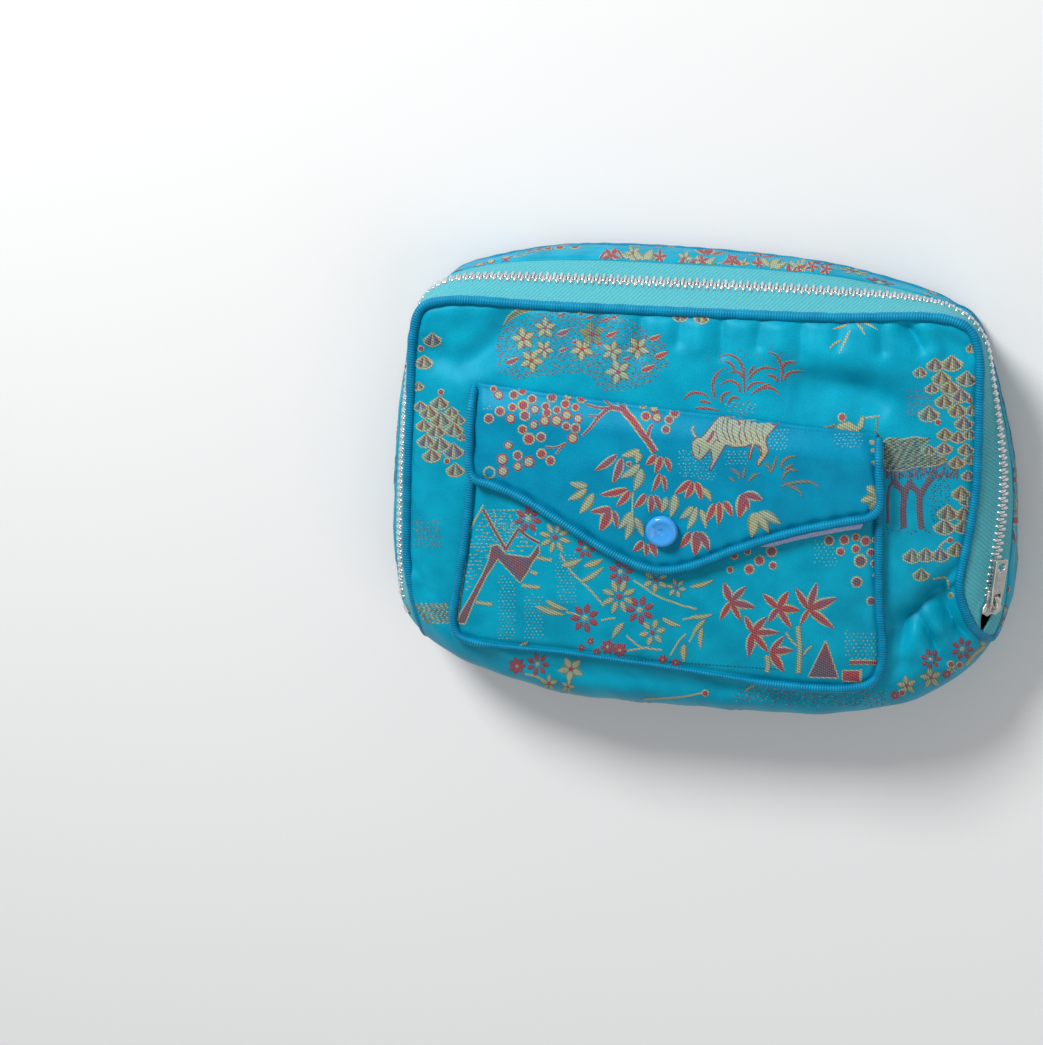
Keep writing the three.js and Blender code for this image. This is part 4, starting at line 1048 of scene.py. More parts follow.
def plate_outline():
    half, wide = SLIDER_LENGTH / 2, SLIDER_WIDTH / 2
    one = [(1, 0.66), (0.45, 0.74), (0.05, 0.66), (-0.4, 1.0), (-0.72, 0.98), (-0.8, 0.72),
           (-1.0, 0.42), (-0.82, 0.0)]
    return [(x * half, y * wide) for x, y in one] + [(x * half, -y * wide) for x, y in one[-2::-1]]


def arch(rise, half, width, thickness):
    """A rounded loop over the slider that the tab hangs on."""
    steps, around = 26, 12
    points = []
    for i in range(steps + 1):
        turn = math.pi * i / steps
        centre = Vector((-math.cos(turn) * half, 0, math.sin(turn) * rise))
        out = Vector((-math.cos(turn) / half, 0, math.sin(turn) / rise)).normalized()
        for k in range(around):
            a = 2 * math.pi * k / around
            spread = 1 + 0.35 * abs(math.cos(turn)) ** 3
            u = math.copysign(abs(math.cos(a)) ** 0.6, math.cos(a)) * width / 2 * spread
            w = math.copysign(abs(math.sin(a)) ** 0.6, math.sin(a)) * thickness / 2
            points.append((centre + out * w + Vector((0, u, 0))) * MM)
    mesh = bpy.data.meshes.new("arch")
    mesh.from_pydata(points, [], ring_quads(steps, around)[:, [0, 3, 2, 1]].tolist())
    return mesh


def slider():
    upper = slab([rounded(plate_outline(), 0.5)], PLATE, 0.32, PLATE_UNDER)
    lower = slab([rounded(plate_outline(), 0.5)], PLATE, 0.2, -PLATE_TOP)
    spine = slab([rounded([(3.4, 0.75), (-2.6, 1.15), (-3.0, 0), (-2.6, -1.15), (3.4, -0.75)], 0.4)],
                 0.8, 0.3, PLATE_TOP - 0.4)
    post = slab([rounded([(2.2, 1.5), (-2.2, 1.5), (-2.2, -1.5), (2.2, -1.5)], 0.6)],
                2 * PLATE_UNDER + 0.4, 0.1, -PLATE_UNDER - 0.2)
    loop = arch(CROWN_RISE - CROWN_THICKNESS / 2, 5.6 / 2 - CROWN_THICKNESS / 2, 1.5, CROWN_THICKNESS)
    loop.transform(Matrix.Translation((0, 0, (PLATE_TOP - 0.05) * MM)))
    rails = []
    for sign in (-1, 1):
        ring = [(4.1, sign * 2.2), (-0.2, sign * 2.2), (-2.4, sign * 3.3), (-3.0, sign * 3.3),
                (-2.2, sign * 2.65), (4.1, sign * 1.75)]
        rails.append(slab([rounded(ring if sign > 0 else ring[::-1], 0.25)], 0.5, 0.15,
                          PLATE_TOP - 0.2))
    return join_meshes("slider", [upper, lower, spine, post, loop, *rails], NICKEL, slider_frame(),
                       "purse", ["zip_slider"])


TAB_LENGTH, TAB_WIDTH, TAB_THICKNESS = 14.5, 4.6, 1.0


def tab():
    half, start = TAB_WIDTH / 2, -0.5
    end = start + TAB_LENGTH
    outline = rounded([(start, -half * 0.8), (4.5, -half), (end, -half), (end, half), (4.5, half),
                       (start, half * 0.8)], 1.0, 6)
    slot = rounded([(0.5, -1.25), (3.3, -1.25), (3.3, 1.25), (0.5, 1.25)], 0.4)
    window = arc(end - 2.3, 0, 1.3, 1.3, 0, 352, 40)
    blade = slab([outline, slot, window], TAB_THICKNESS, 0.22, HINGE_HEIGHT - TAB_THICKNESS / 2)
    frame_ring = rounded([(end - 4.4, -1.75), (end - 0.45, -1.75), (end - 0.45, 1.75),
                          (end - 4.4, 1.75)], 0.3)
    inner = rounded([(end - 4.1, -1.45), (end - 0.75, -1.45), (end - 0.75, 1.45),
                     (end - 4.1, 1.45)], 0.25)
    rim = slab([frame_ring, inner], 0.24, 0.05, HINGE_HEIGHT + TAB_THICKNESS / 2 - 0.12)
    return join_meshes("pull_tab_metal", [blade, rim], NICKEL, slider_frame(), "pull_tab",
                       ["zip_pull_tab"])


# Pocket, flap and their trims: sheets that follow the filled front.
def fold_line(x):
    return (POCKET_Y + POCKET_MOUTH * POCKET_HEIGHT + FOLD_ABOVE_POCKET
            + FLAP_TILT * (x - POCKET_X))


POCKET_LIFT = BODY_WALL / 2 + PIECE_GAP + POCKET_WALL / 2
LINING_LIFT = POCKET_LIFT + POCKET_WALL / 2 + PIECE_GAP + LINING_WALL / 2
FLAP_LIFT = LINING_LIFT + LINING_WALL / 2 + PIECE_GAP + FLAP_WALL / 2
FOLD_LIFT = BODY_WALL / 2 + PIECE_GAP + FLAP_WALL / 2
POCKET_LINE = POCKET_ROWS * [POCKET_WIDTH, POCKET_HEIGHT] + [POCKET_X, POCKET_Y]
flap_x = POCKET_X + FLAP_ROWS[:, 0] * POCKET_WIDTH
FLAP_LINE = np.column_stack([flap_x, fold_line(flap_x) - FLAP_ROWS[:, 1] * FLAP_LENGTH])


def inset_line(line, t, inset):
    ahead = unit(centripetal(line, np.clip(t + 1e-4, 0, 1), False)
                 - centripetal(line, np.clip(t - 1e-4, 0, 1), False))
    return centripetal(line, t, False) + np.column_stack([-ahead[:, 1], ahead[:, 0]]) * inset


def outline_steps(line, start, end, count):
    return even_steps(lambda t: inset_line(line, t, -8.0), start, end, count)


def outline_grid(line, corners, columns, rows, inset):
    left, right = corners
    edge_left = inset_line(line, outline_steps(line, 0, left, rows), inset)[::-1]
    bottom = inset_line(line, outline_steps(line, left, right, columns), inset)
    edge_right = inset_line(line, outline_steps(line, right, 1, rows), inset)
    top = mix(edge_left[-1], edge_right[-1], np.linspace(0, 1, columns + 1)[:, None])
    return coons(bottom, edge_right, top, edge_left)


def edge_distance(points, line):
    return nearest(points, centripetal(line, np.linspace(0, 1, 700), False))[0]


def pocket():
    columns, rows = 150, 84
    plan = outline_grid(POCKET_LINE, POCKET_CORNERS, columns, rows, 0.4).reshape(-1, 2)
    x, y = plan.T
    away = edge_distance(plan, POCKET_LINE)
    height = crown(x, y) + POCKET_LIFT + POCKET_WALL / 2
    height += -0.75 * np.exp(-(np.maximum(away - 1.0, 0) / 1.3) ** 2)
    height += ripple(x, y, 6.0, 0.14) * np.exp(-away / 4.0)
    height += (ripple(x, y, 30.0, 0.35) + 0.35 * smooth(away / 20)) * smooth(away / 6)
    points = np.column_stack([plan, height])
    return make("pocket_cloth", points, quads(rows, columns), GROUND, plan,
                replaced=["pocket_panel"], wall=FLAP_CLOTH)


def flap_middle(x, y):
    share = smooth((fold_line(x) - y) / 9.0)
    return crown(x, y) + mix(FOLD_LIFT, FLAP_LIFT, share)


SNAP_X = POCKET_X - 0.009 * POCKET_WIDTH
SNAP_Y = fold_line(SNAP_X) - 0.698 * FLAP_LENGTH


def flap_surface(x, y, away):
    """Outer surface of the flap: puckers beside the piping, a dip under the snap, drape lines."""
    height = flap_middle(x, y) + FLAP_WALL / 2
    height += -0.7 * np.exp(-(np.maximum(away - 1.0, 0) / 1.3) ** 2)
    along = x * 0.9 + 0.4 * y
    height += 0.4 * np.sin(along * 2 * math.pi / 5.6 + 1.7 * np.sin(x * 0.11)) * np.exp(-away / 3.2)
    near = np.hypot(x - SNAP_X, y - SNAP_Y)
    height += -0.35 * np.exp(-((near - 5.5) / 2.2) ** 2)
    turn = np.arctan2(y - SNAP_Y, x - SNAP_X)
    height += 0.14 * np.sin(turn * 7 + 0.6) * np.exp(-((near - 8) / 5) ** 2)
    height += ripple(x, y, 26.0, 0.4) * smooth(away / 5)
    height += 0.3 * np.exp(-((x - 27 - 0.3 * (y - 12)) / 2.2) ** 2) * smooth((20 - y) / 12)
    return height


def flap():
    columns, rows = 160, 70
    plan = outline_grid(FLAP_LINE, FLAP_CORNERS, columns, rows, 0.4).reshape(-1, 2)
    x, y = plan.T
    points = np.column_stack([plan, flap_surface(x, y, edge_distance(plan, FLAP_LINE))])
    # The fold itself: the cloth turns down behind the top row into the seam.
    top = points[-(columns + 1):]
    turned = [top + [0, 0.35 + 0.5 * math.sin(a), -0.5 * (1 - math.cos(a)) - 0.12 * k]
              for k, a in enumerate(np.linspace(0.5, 2.6, 6))]
    points = np.vstack([points, *turned])
    plan = np.vstack([plan, *[top[:, :2] + [0, 0.6 * k + 0.5] for k in range(6)]])
    # The flap wears the darker satin, which is painted shade.
    return make("flap_cloth", points, quads(rows + 6, columns), SHADED_FLAP_GROUND, plan,
                replaced=["pocket_flap"], wall=FLAP_CLOTH)


def lining():
    columns, rows = 90, 14
    inset = 2 * TRIM_PIPING + 2 * PIECE_GAP
    plan = outline_grid(FLAP_LINE, FLAP_CORNERS, columns, rows, inset)
    share = np.linspace(0, 1, columns + 1)
    wing = smooth((share - 0.62) / 0.12) * smooth((1 - share) / 0.1)
    floor = plan[0, :, 1] - (inset + TRIM_PIPING + 2.1) * wing
    level = np.linspace(0, 1, rows + 1)[:, None]
    plan[..., 1] = mix(floor[None], fold_line(plan[..., 0]) - 12.0, level)
    plan = plan.reshape(-1, 2)
    height = crown(plan[:, 0], plan[:, 1]) + LINING_LIFT + LINING_WALL / 2
    return make("lining_cloth", np.column_stack([plan, height]), quads(rows, columns), LINING, plan,
                replaced=["flap_lining"], wall=LINING_CLOTH)


def trim(name, line, count, height_at, node, flattened=None):
    plan = centripetal(line, outline_steps(line, 0, 1, count), False)
    thin = flattened(*plan.T) if flattened else np.ones(len(plan))
    height = height_at(plan[:, 0], plan[:, 1]) - TRIM_PIPING * (1 - thin)
    path = np.column_stack([plan, height])
    return tube(name, path, np.tile([0, 0, 1.0], (len(path), 1)), TRIM_PIPING, 14, False, PIPING,
                node, thin=thin)


def pressed(x, y):
    """Where the pocket's lower piping is sewn flat."""
    lower = smooth((POCKET_Y - 0.36 * POCKET_HEIGHT - y) / 4)
    return 1 - 0.5 * lower * smooth((x + 66) / 8) * smooth((26 - x) / 12)


def snap():
    """Cap of the press stud: a lathe with a low rim, a dish and a dimple."""
    rows = [(0, 0), (0.9, 0), (0.965, 0.08), (1, 0.3), (1, 0.5), (0.975, 0.7), (0.92, 0.86),
            (0.84, 0.96), (0.76, 1), (0.68, 0.985), (0.62, 0.93), (0.55, 0.87), (0.42, 0.81),
            (0.3, 0.78), (0.22, 0.76), (0.17, 0.7), (0.1, 0.64), (0.05, 0.62), (0, 0.615)]
    step = 2.0
    z = flap_middle(np.array([SNAP_X + step, SNAP_X - step, SNAP_X, SNAP_X, SNAP_X]),
                    np.array([SNAP_Y, SNAP_Y, SNAP_Y + step, SNAP_Y - step, SNAP_Y]))
    right = unit(np.array([2 * step, 0, z[0] - z[1]]))
    ahead = np.array([0, 2 * step, z[2] - z[3]])
    normal = unit(np.cross(right, ahead))
    across = np.cross(normal, right)
    around = 64
    angle = np.arange(around) * 2 * math.pi / around
    points = []
    for r, h in rows:
        out = (np.cos(angle)[:, None] * right + np.sin(angle)[:, None] * across) * r * SNAP_DIAMETER / 2
        points.append(np.array([SNAP_X, SNAP_Y, z[4]]) + out
                      + normal * (FLAP_WALL / 2 + PIECE_GAP - 0.25 + h * (SNAP_HEIGHT + 0.25)))
    obj = make("snap_cap_moulding", np.vstack(points), ring_quads(len(rows) - 1, around), SNAP, None,
               replaced=["snap_cap"])
    weld = obj.modifiers.new("weld", "WELD")
    weld.merge_threshold = 0.00002
    return obj


front_cloth = body_front()
back_cloth = body_back()
tape_front, tape_back = tapes()
strip_cloth = strip()
edge_piping()
teeth(-1, "zip_teeth_front")
teeth(1, "zip_teeth_back")
slider()
tab()
pocket_cloth = pocket()
flap_cloth = flap()
lining_cloth = lining()
trim("pocket_piping_cloth", POCKET_LINE, 240,
     lambda x, y: crown(x, y) + BODY_WALL / 2 + PIECE_GAP + TRIM_PIPING, "pocket_piping", pressed)
trim("flap_piping_cloth", FLAP_LINE, 260,
     lambda x, y: flap_middle(x, y) + TRIM_PIPING - FLAP_WALL / 2, "flap_piping")
snap()
# These two keep their solids' shape.
for name in ("zip_bottom_stop", "snap_stud"):
    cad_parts[name].data.materials.clear()
    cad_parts[name].data.materials.append(NICKEL)


# Woven figures. They are charted in pixels of the photograph and laid on the cloth through
# the camera. Where the photograph shows no cloth, the same charts are laid by the cloth's measure.
DYES = {name: linear(code) for name, code in (
    ("red", "a63c43"), ("dull", "7e4850"), ("gold", "b0b088"), ("olive", "7f865e"),
    ("lilac", "6f7688"), ("aqua", "63c3cc"), ("dark", "14566e"))}


class Cloth:
    """The outer surface of a cloth, with two ways to find a place on it."""

    def __init__(self, obj):
        mesh = obj.data
        values = np.empty(len(mesh.vertices) * 3)
        mesh.vertices.foreach_get("co", values)
        self.points = (values / MM).reshape(-1, 3)
        mesh.attributes["cloth"].data.foreach_get("vector", values)
        self.measure = values.reshape(-1, 3).copy()
        self.faces = [tuple(p.vertices) for p in mesh.polygons]
        self.shape = BVHTree.FromPolygons(self.points.tolist(), self.faces)
        self.flat = None

    def seen(self, x, y):
        ray = (SIDEWAYS * (x - IMAGE_WIDTH / 2) - UPWARDS * (y - IMAGE_HEIGHT / 2) - TOWARDS * FOCAL)
        point, normal, face, _ = self.shape.ray_cast(Vector(CAMERA_PLACE), Vector(ray))
        if point is None:
            return None
        corners = self.faces[face]
        weights = poly_3d_calc([Vector(self.points[k]) for k in corners], point)
        measure = sum(w * self.measure[k] for w, k in zip(weights, corners))
        return np.array(point), np.array(normal), measure

    def laid(self, u, v):
        if self.flat is None:
            self.flat = BVHTree.FromPolygons(self.measure.tolist(), self.faces)
        found, _, face, _ = self.flat.ray_cast(Vector((u, v, 1)), Vector((0, 0, -1)))
        if found is None:
            return None
        corners = self.faces[face]
        weights = poly_3d_calc([Vector(self.measure[k]) for k in corners], found)
        point = sum(w * self.points[k] for w, k in zip(weights, corners))
        a, b, c = (self.points[k] for k in corners[:3])
        return point, unit(np.cross(b - a, c - a)), np.array([u, v, 0])


def rows(text):
    """Rows of numbers from a chart, where semicolons part the rows."""
    return [tuple(float(n) for n in row.split()) for row in text.split(";")]


def line(text):
    return np.array(rows(text))


def inside(x, y, ring):
    ring = np.asarray(ring)
    ax, ay = ring.T
    bx, by = np.roll(ring, -1, 0).T
    x, y = np.asarray(x)[:, None], np.asarray(y)[:, None]
    crossed = ((ay > y) != (by > y)) & (x < (bx - ax) * (y - ay) / (by - ay + 1e-12) + ax)
    return crossed.sum(1) % 2 == 1


class Weave:
    """Figures on one cloth, gathered into one mesh."""

    def __init__(self, cloth, place):
        self.cloth, self.place = cloth, place
        self.points, self.measures, self.valid, self.faces, self.dyes = [], [], [], [], []
        self.figures = 0

    def add(self, xy, lift, faces, dyes):
        start = len(self.points)
        self.figures += 1
        over = 0.004 * (self.figures % 9)
        for (x, y), up in zip(xy, lift):
            found = self.place(x, y)
            self.valid.append(found is not None)
            point, normal, measure = found or (np.zeros(3), np.zeros(3), np.zeros(3))
            self.points.append(point + normal * (up + over))
            self.measures.append(measure)
        for face, dye in zip(faces, dyes):
            if all(self.valid[start + k] for k in face):
                self.faces.append([start + k for k in face])
                self.dyes.append(DYES[dye])

    def disc(self, x, y, r, fill, ring="gold"):
        count = max(12, int(r * 2))
        angle = np.arange(count) * 2 * math.pi / count
        levels = [(0.3, 0.15), (0.7, 0.13), (0.77, 0.11), (1.0, 0.03)]
        xy = [(x, y)] + [(x + s * r * math.cos(a), y + s * r * math.sin(a))
                         for s, _ in levels for a in angle]
        lift = [0.16] + [up for _, up in levels for _ in angle]
        faces, dyes = [], []
        for k in range(count):
            n = (k + 1) % count
            faces.append((0, 1 + n, 1 + k))
            dyes.append(fill)
            for j, dye in enumerate((fill, ring, ring)):
                a = 1 + j * count
                faces.append((a + k, a + n, a + count + n, a + count + k))
                dyes.append(dye)
        self.add(xy, lift, faces, dyes)

    def stroke(self, points, width, fill, edge=None, closed=False, pointed=False, up=0.0,
               blunt=0.85):
        points = np.asarray(points, float)
        if closed:
            points = np.vstack([points, points[:1]])
        length = np.linalg.norm(np.diff(points, axis=0), axis=1).sum()
        count = max(3, int(length / 2.2))
        s = np.linspace(0, 1, count + 1)
        if len(points) > 2 and not closed:
            path = centripetal(points, s, False)
        else:
            run = run_of(points)
            path = np.column_stack([np.interp(s * run[-1], run, points[:, k]) for k in (0, 1)])
        ahead = unit(np.gradient(path, axis=0))
        side = np.column_stack([-ahead[:, 1], ahead[:, 0]])
        start, end = (width if isinstance(width, tuple) else (width, width))
        wide = mix(start, end, s) / 2
        if pointed:
            wide = wide * (0.12 + 0.95 * np.sin(math.pi * np.clip(s, 0, 1) ** 0.8) ** blunt)
        across = [-1, -0.62, 0, 0.62, 1] if edge else [-1, 0, 1]
        lifts = [0.03, 0.12, 0.14, 0.12, 0.03] if edge else [0.03, 0.13, 0.03]
        xy = (path[:, None] + side[:, None] * wide[:, None, None] * np.array(across)[None, :, None])
        last = len(across) - 1
        faces, dyes = [], []
        for i in range(count):
            for j in range(last):
                a = i * (last + 1) + j
                faces.append((a, a + 1, a + last + 2, a + last + 1))
                dyes.append(edge if edge and j in (0, last - 1) else fill)
        self.add(xy.reshape(-1, 2), [lift + up for lift in lifts] * (count + 1), faces, dyes)

    def leaf(self, x0, y0, x1, y1, width, fill, edge, arch=0.0, blunt=0.85):
        reach = math.hypot(x1 - x0, y1 - y0)
        bend = np.array([y0 - y1, x1 - x0]) / reach * arch
        middle = np.array([(x0 + x1) / 2, (y0 + y1) / 2]) + bend
        self.stroke([(x0, y0), middle, (x1, y1)], width, fill, edge, pointed=True, blunt=blunt)

    def blossom(self, x, y, r, petals, fill, edge, core, turn=0.3, full=False):
        """Petals round a core. The petals of a full flower are blunt and stand apart."""
        start, width, blunt = (0.3, 2.9 / petals, 0.4) if full else (0.12, 0.62, 0.85)
        for k in range(petals):
            a = turn + 2 * math.pi * k / petals
            c, s = math.cos(a), math.sin(a)
            self.leaf(x + c * r * start, y + s * r * start, x + c * r, y + s * r, r * width, fill, edge,
                      blunt=blunt)
        self.disc(x, y, r * (0.2 if full else 0.26), core, core)

    def fan(self, x, y, r, fill="olive", edge="gold"):
        """A clump of needles like a scallop shell: rays down from its tip, and a scalloped hem."""
        top, angles = y - r * 0.95, np.radians(np.linspace(40, 140, 7))
        tips = np.column_stack([x + np.cos(angles) * r * 1.6, top + np.sin(angles) * r * 1.7])
        for k, tip in enumerate(tips):
            self.stroke([(x, top), tip], (r * 0.1, r * 0.46),
                        (edge, "dull", fill, edge, "dull", fill, edge)[k])
        hem = mix(tips[:-1], tips[1:], 0.5) + [0, r * 0.22]
        self.stroke(np.vstack([tips[:1], hem, tips[-1:]]), 1.7, edge, up=0.03)

    def area(self, ring, fill, edge=None, pitch=4.0, edge_width=1.6):
        ring = np.asarray(ring, float)
        dense = []
        for a, b in zip(ring, np.roll(ring, -1, 0)):
            steps = max(1, int(np.linalg.norm(b - a) / 3.0))
            dense += [a + (b - a) * k / steps for k in range(steps)]
        low, high = ring.min(0), ring.max(0)
        gx, gy = np.meshgrid(np.arange(low[0] + 1, high[0], pitch),
                             np.arange(low[1] + 1, high[1], pitch))
        gx, gy = gx.ravel(), gy.ravel()
        kept = inside(gx, gy, ring)
        away = ((np.array(dense)[None] - np.column_stack([gx, gy])[:, None]) ** 2).sum(2).min(1)
        kept &= away > 1.5
        verts = [Vector(p) for p in dense] + [Vector(p) for p in np.column_stack([gx, gy])[kept]]
        border = list(range(len(dense)))
        made, _, faces, *_ = delaunay_2d_cdt(verts, [], [border], 1, 0.01)
        xy = np.array([tuple(v) for v in made])
        near = ((np.array(dense)[None] - xy[:, None]) ** 2).sum(2).min(1) < 0.2
        self.add(xy, np.where(near, 0.04, 0.12), faces, [fill] * len(faces))
        if edge:
            self.stroke(ring, edge_width, edge, closed=True)

    def stipple(self, ring, pitch, dyes, length=1.9, width=0.9, seed=1, loose=0.25, keep=1.0, slant=0.0,
                up=0.0):
        chance = np.random.default_rng(seed)
        ring = np.asarray(ring, float)
        low, high = ring.min(0), ring.max(0)
        across = np.arange(low[0], high[0], pitch)
        down = np.arange(low[1], high[1], pitch * 0.8)
        gx, gy = np.meshgrid(across, down)
        gx = gx + (np.arange(len(down)) % 2)[:, None] * pitch / 2
        gx, gy = gx.ravel(), gy.ravel()
        gx = gx + chance.uniform(-loose, loose, len(gx)) * pitch
        gy = gy + chance.uniform(-loose, loose, len(gy)) * pitch
        kept = inside(gx, gy, ring) & (chance.random(len(gx)) < keep)
        l, w = length / 2, width / 2
        box = np.array([(-l, -w), (l, -w + slant), (l, w + slant), (-l, w)])
        for n, (x, y) in enumerate(zip(gx[kept], gy[kept])):
            self.add(box + (x, y), [up + 0.05] * 4, [(0, 1, 2, 3)], [dyes[n % len(dyes)]])

    def finish(self, name):
        used = np.unique(np.concatenate([np.array(f) for f in self.faces]))
        renumber = np.zeros(len(self.points), int)
        renumber[used] = np.arange(len(used))
        points, measures = np.array(self.points)[used], np.array(self.measures)[used]
        faces = []
        for face in self.faces:
            a, b, c = (self.points[k] for k in face[:3])
            around = np.cross(b - a, c - a)
            faces.append([int(renumber[k]) for k in (face if self.outward(a, around) else face[::-1])])
        obj = make(name, points, faces, FLOATS, measures[:, :2])
        colour = obj.data.color_attributes.new(name="dye", type="FLOAT_COLOR", domain="CORNER")
        sizes = [len(f) for f in faces]
        values = np.ones((sum(sizes), 4), np.float32)
        values[:, :3] = np.repeat(np.array(self.dyes), sizes, axis=0)
        colour.data.foreach_set("color", values.ravel())
        return obj

    def outward(self, point, around):
        _, normal, _, _ = self.cloth.shape.find_nearest(Vector(point))
        return np.dot(around, normal) > 0


def blossoms_and_grass(w):
    """The upper left and the middle of the front: a flowering branch in a haze, and grasses."""
    haze = line("498 327; 514 320.6; 543 310.4; 620 312.4; 665 343; 669 363.5; 655 380; 624.5 392;"
                " 604 392; 583.7 371.6; 543 375.7; 514 380; 498 371.6; 496 349")
    w.stipple(haze, 3.2, ["dull", "lilac", "dull", "olive"], 2.1, 1.1, 3, 0.3, 0.9)
    w.stroke(line("503 326; 511 316.5; 520 311.4; 533.7 309.4"), (4, 9), "olive", "gold", pointed=True)
    for x, y, r in rows("523.5 339 11; 545.3 327.8 10; 544.3 349.2 9; 582.2 349.2 11; 531.6 360.4 11;"
                        " 612.2 351.2 10; 637.8 348.2 11; 618.4 371.6 12; 591.8 333.9 12"):
        w.blossom(x, y, r * 1.08, 5, "olive" if y == 333.9 else "gold", "olive", "red", x * 0.7)
        for k in range(5):
            a = x * 0.7 + 2 * math.pi * (k + 0.5) / 5
            w.stroke([(x + math.cos(a) * r * 0.3, y + math.sin(a) * r * 0.3),
                      (x + math.cos(a) * r * 0.75, y + math.sin(a) * r * 0.75)], 1.4, "dull")
    for x, y, r in rows("563.3 331.8 7; 563.3 349.2 5; 512.2 360.4 7; 611.2 333.9 6; 655 337 6;"
                        " 661.2 354.3 7; 648 367.6 7; 561 314.5 4; 589.8 316.5 4; 606 318.6 4;"
                        " 614.3 316.5 4; 575 341 4; 600 343 4; 626 358 4"):
        w.leaf(x - r, y + r * 0.4, x + r, y - r * 0.4, r * 0.9, "red", "gold", 1.0)
    w.disc(579.6, 310.4, 4, "gold", "olive")
    for text in ("715.8 401.5; 712.6 384.7; 716.8 374.2; 724.2 367.9",
                 "683.2 399.4; 691.6 393; 702 393.5; 710.5 398.4", "699 401; 705 401.6; 711.6 403.6",
                 "694.7 407.9; 706 408.4; 719 410.4",
                 "744.2 393; 744.2 380.5; 740 361.6; 729.5 354.8; 717.9 357.3",
                 "745.2 380.5; 737.9 372; 728.4 372", "740 393; 737.9 384.7; 729.5 380.5; 720 384.3",
                 "747.3 380.5; 754.7 372; 765.2 367.4; 777.9 369.6", "748.4 374.2; 751 370; 754.7 365.8",
                 "746.3 391; 752.6 383.7; 764.2 382.2",
                 "750.5 395.2; 761 387.9; 773.6 388.9; 778.9 395.2",
                 "781 382.6; 782 367.9; 775.8 355.2; 767.3 351.5", "782 367.9; 786.3 362.6; 797.9 361.6",
                 "783.1 380.5; 788.4 373.1; 804.2 371", "777.9 382.6; 773.6 376.3; 765.2 375.2",
                 "721 403.6; 723 395.2; 731.6 391", "727.3 403.6; 732.6 397.3; 740 398.4",
                 "736 372; 730 363; 723 361", "757 392; 764 386; 770 384"):
        w.stroke(line(text), 3.2, "red", "olive", pointed=True)
    w.stipple(line("725 403; 755 400; 757 412; 742 416; 728 412"), 3.0, ["lilac", "aqua"], seed=5)
    w.stipple(line("700 352; 790 345; 800 380; 760 396; 712 392"), 5.0, ["dull"], 1.6, 0.8, 6, 0.4, 0.35)


def pine_clumps(w):
    """The rounded clumps down both ends of the front."""
    for x, y, r in rows("432.5 339.5 8; 424 362 8; 439.6 402.7 8; 420.7 406 6; 428.5 411.7 8;"
                        " 440.8 419.5 9; 451.9 411.7 6; 458.6 419.5 6; 424 425 7; 436.3 430.6 8;"
                        " 454.2 429.5 8; 426.3 440.7 8; 439.6 444 9; 453.5 450.7 9; 431.8 455.2 8;"
                        " 455.3 469.7 8; 462 437 4; 418.4 386 5"):
        w.fan(x, y, r * 0.92, "olive" if x % 3 > 0.7 else "lilac")
    for x, y, r in rows("935 364.6 7.5; 951.9 363 9; 941.4 377.9 8; 966.6 378.6 8.5; 949.8 387 8;"
                        " 961 395.4 8; 944.2 401 8; 928.8 413.7 9; 957.5 410.2 8; 963.8 422.8 8;"
                        " 944.9 434 7; 958.2 436.8 7; 969.4 434 6; 944.2 448 7; 928.8 450 6;"
                        " 965.9 449.4 7; 956.8 462 7; 970.8 459 6; 968 475.4 6; 961 493 8; 967.3 500 7;"
                        " 947.7 512.6 9; 944.2 526.6 9; 963.8 514 8; 963.8 526.6 8; 956.8 549 8;"
                        " 911.9 556 8; 925.9 554.7 8; 940 554.7 8; 971.5 348 5; 921 574.3 7;"
                        " 920 372 6; 932 388 6; 972 410 6"):
        w.fan(x, y, r * 0.95, "olive" if (x + y) % 3 > 0.8 else "lilac")
    for x, y in rows("421 348.5; 969.4 400.3; 447 461; 441 392; 938 422; 950 540"):
        w.disc(x, y, 3.4, "red", "gold")
    w.stipple(line("906 388; 933 390; 933 417; 908 417"), 3.4, ["lilac", "dull"], 1.8, 0.9, 8, 0.1)
    w.stipple(line("413 520; 440 520; 441 549; 414 547"), 3.4, ["olive", "lilac"], 1.8, 0.9, 9, 0.2)
    w.stipple(line("413 604; 447 602; 451 624; 424 623"), 2.4, ["olive", "gold"], 2.4, 1.3, 10, 0.2)
    w.stroke(line("949.8 539; 944 542; 938.6 547.7"), 2.6, "gold")
    w.stroke(line("932.6 579; 946 578; 949 588.7"), 2.0, "gold")
    for x, y in rows("399.5 435; 401.7 392.7; 400.6 477.5; 950.8 595.4"):
        w.disc(x, y, 3.2, "olive", "gold")


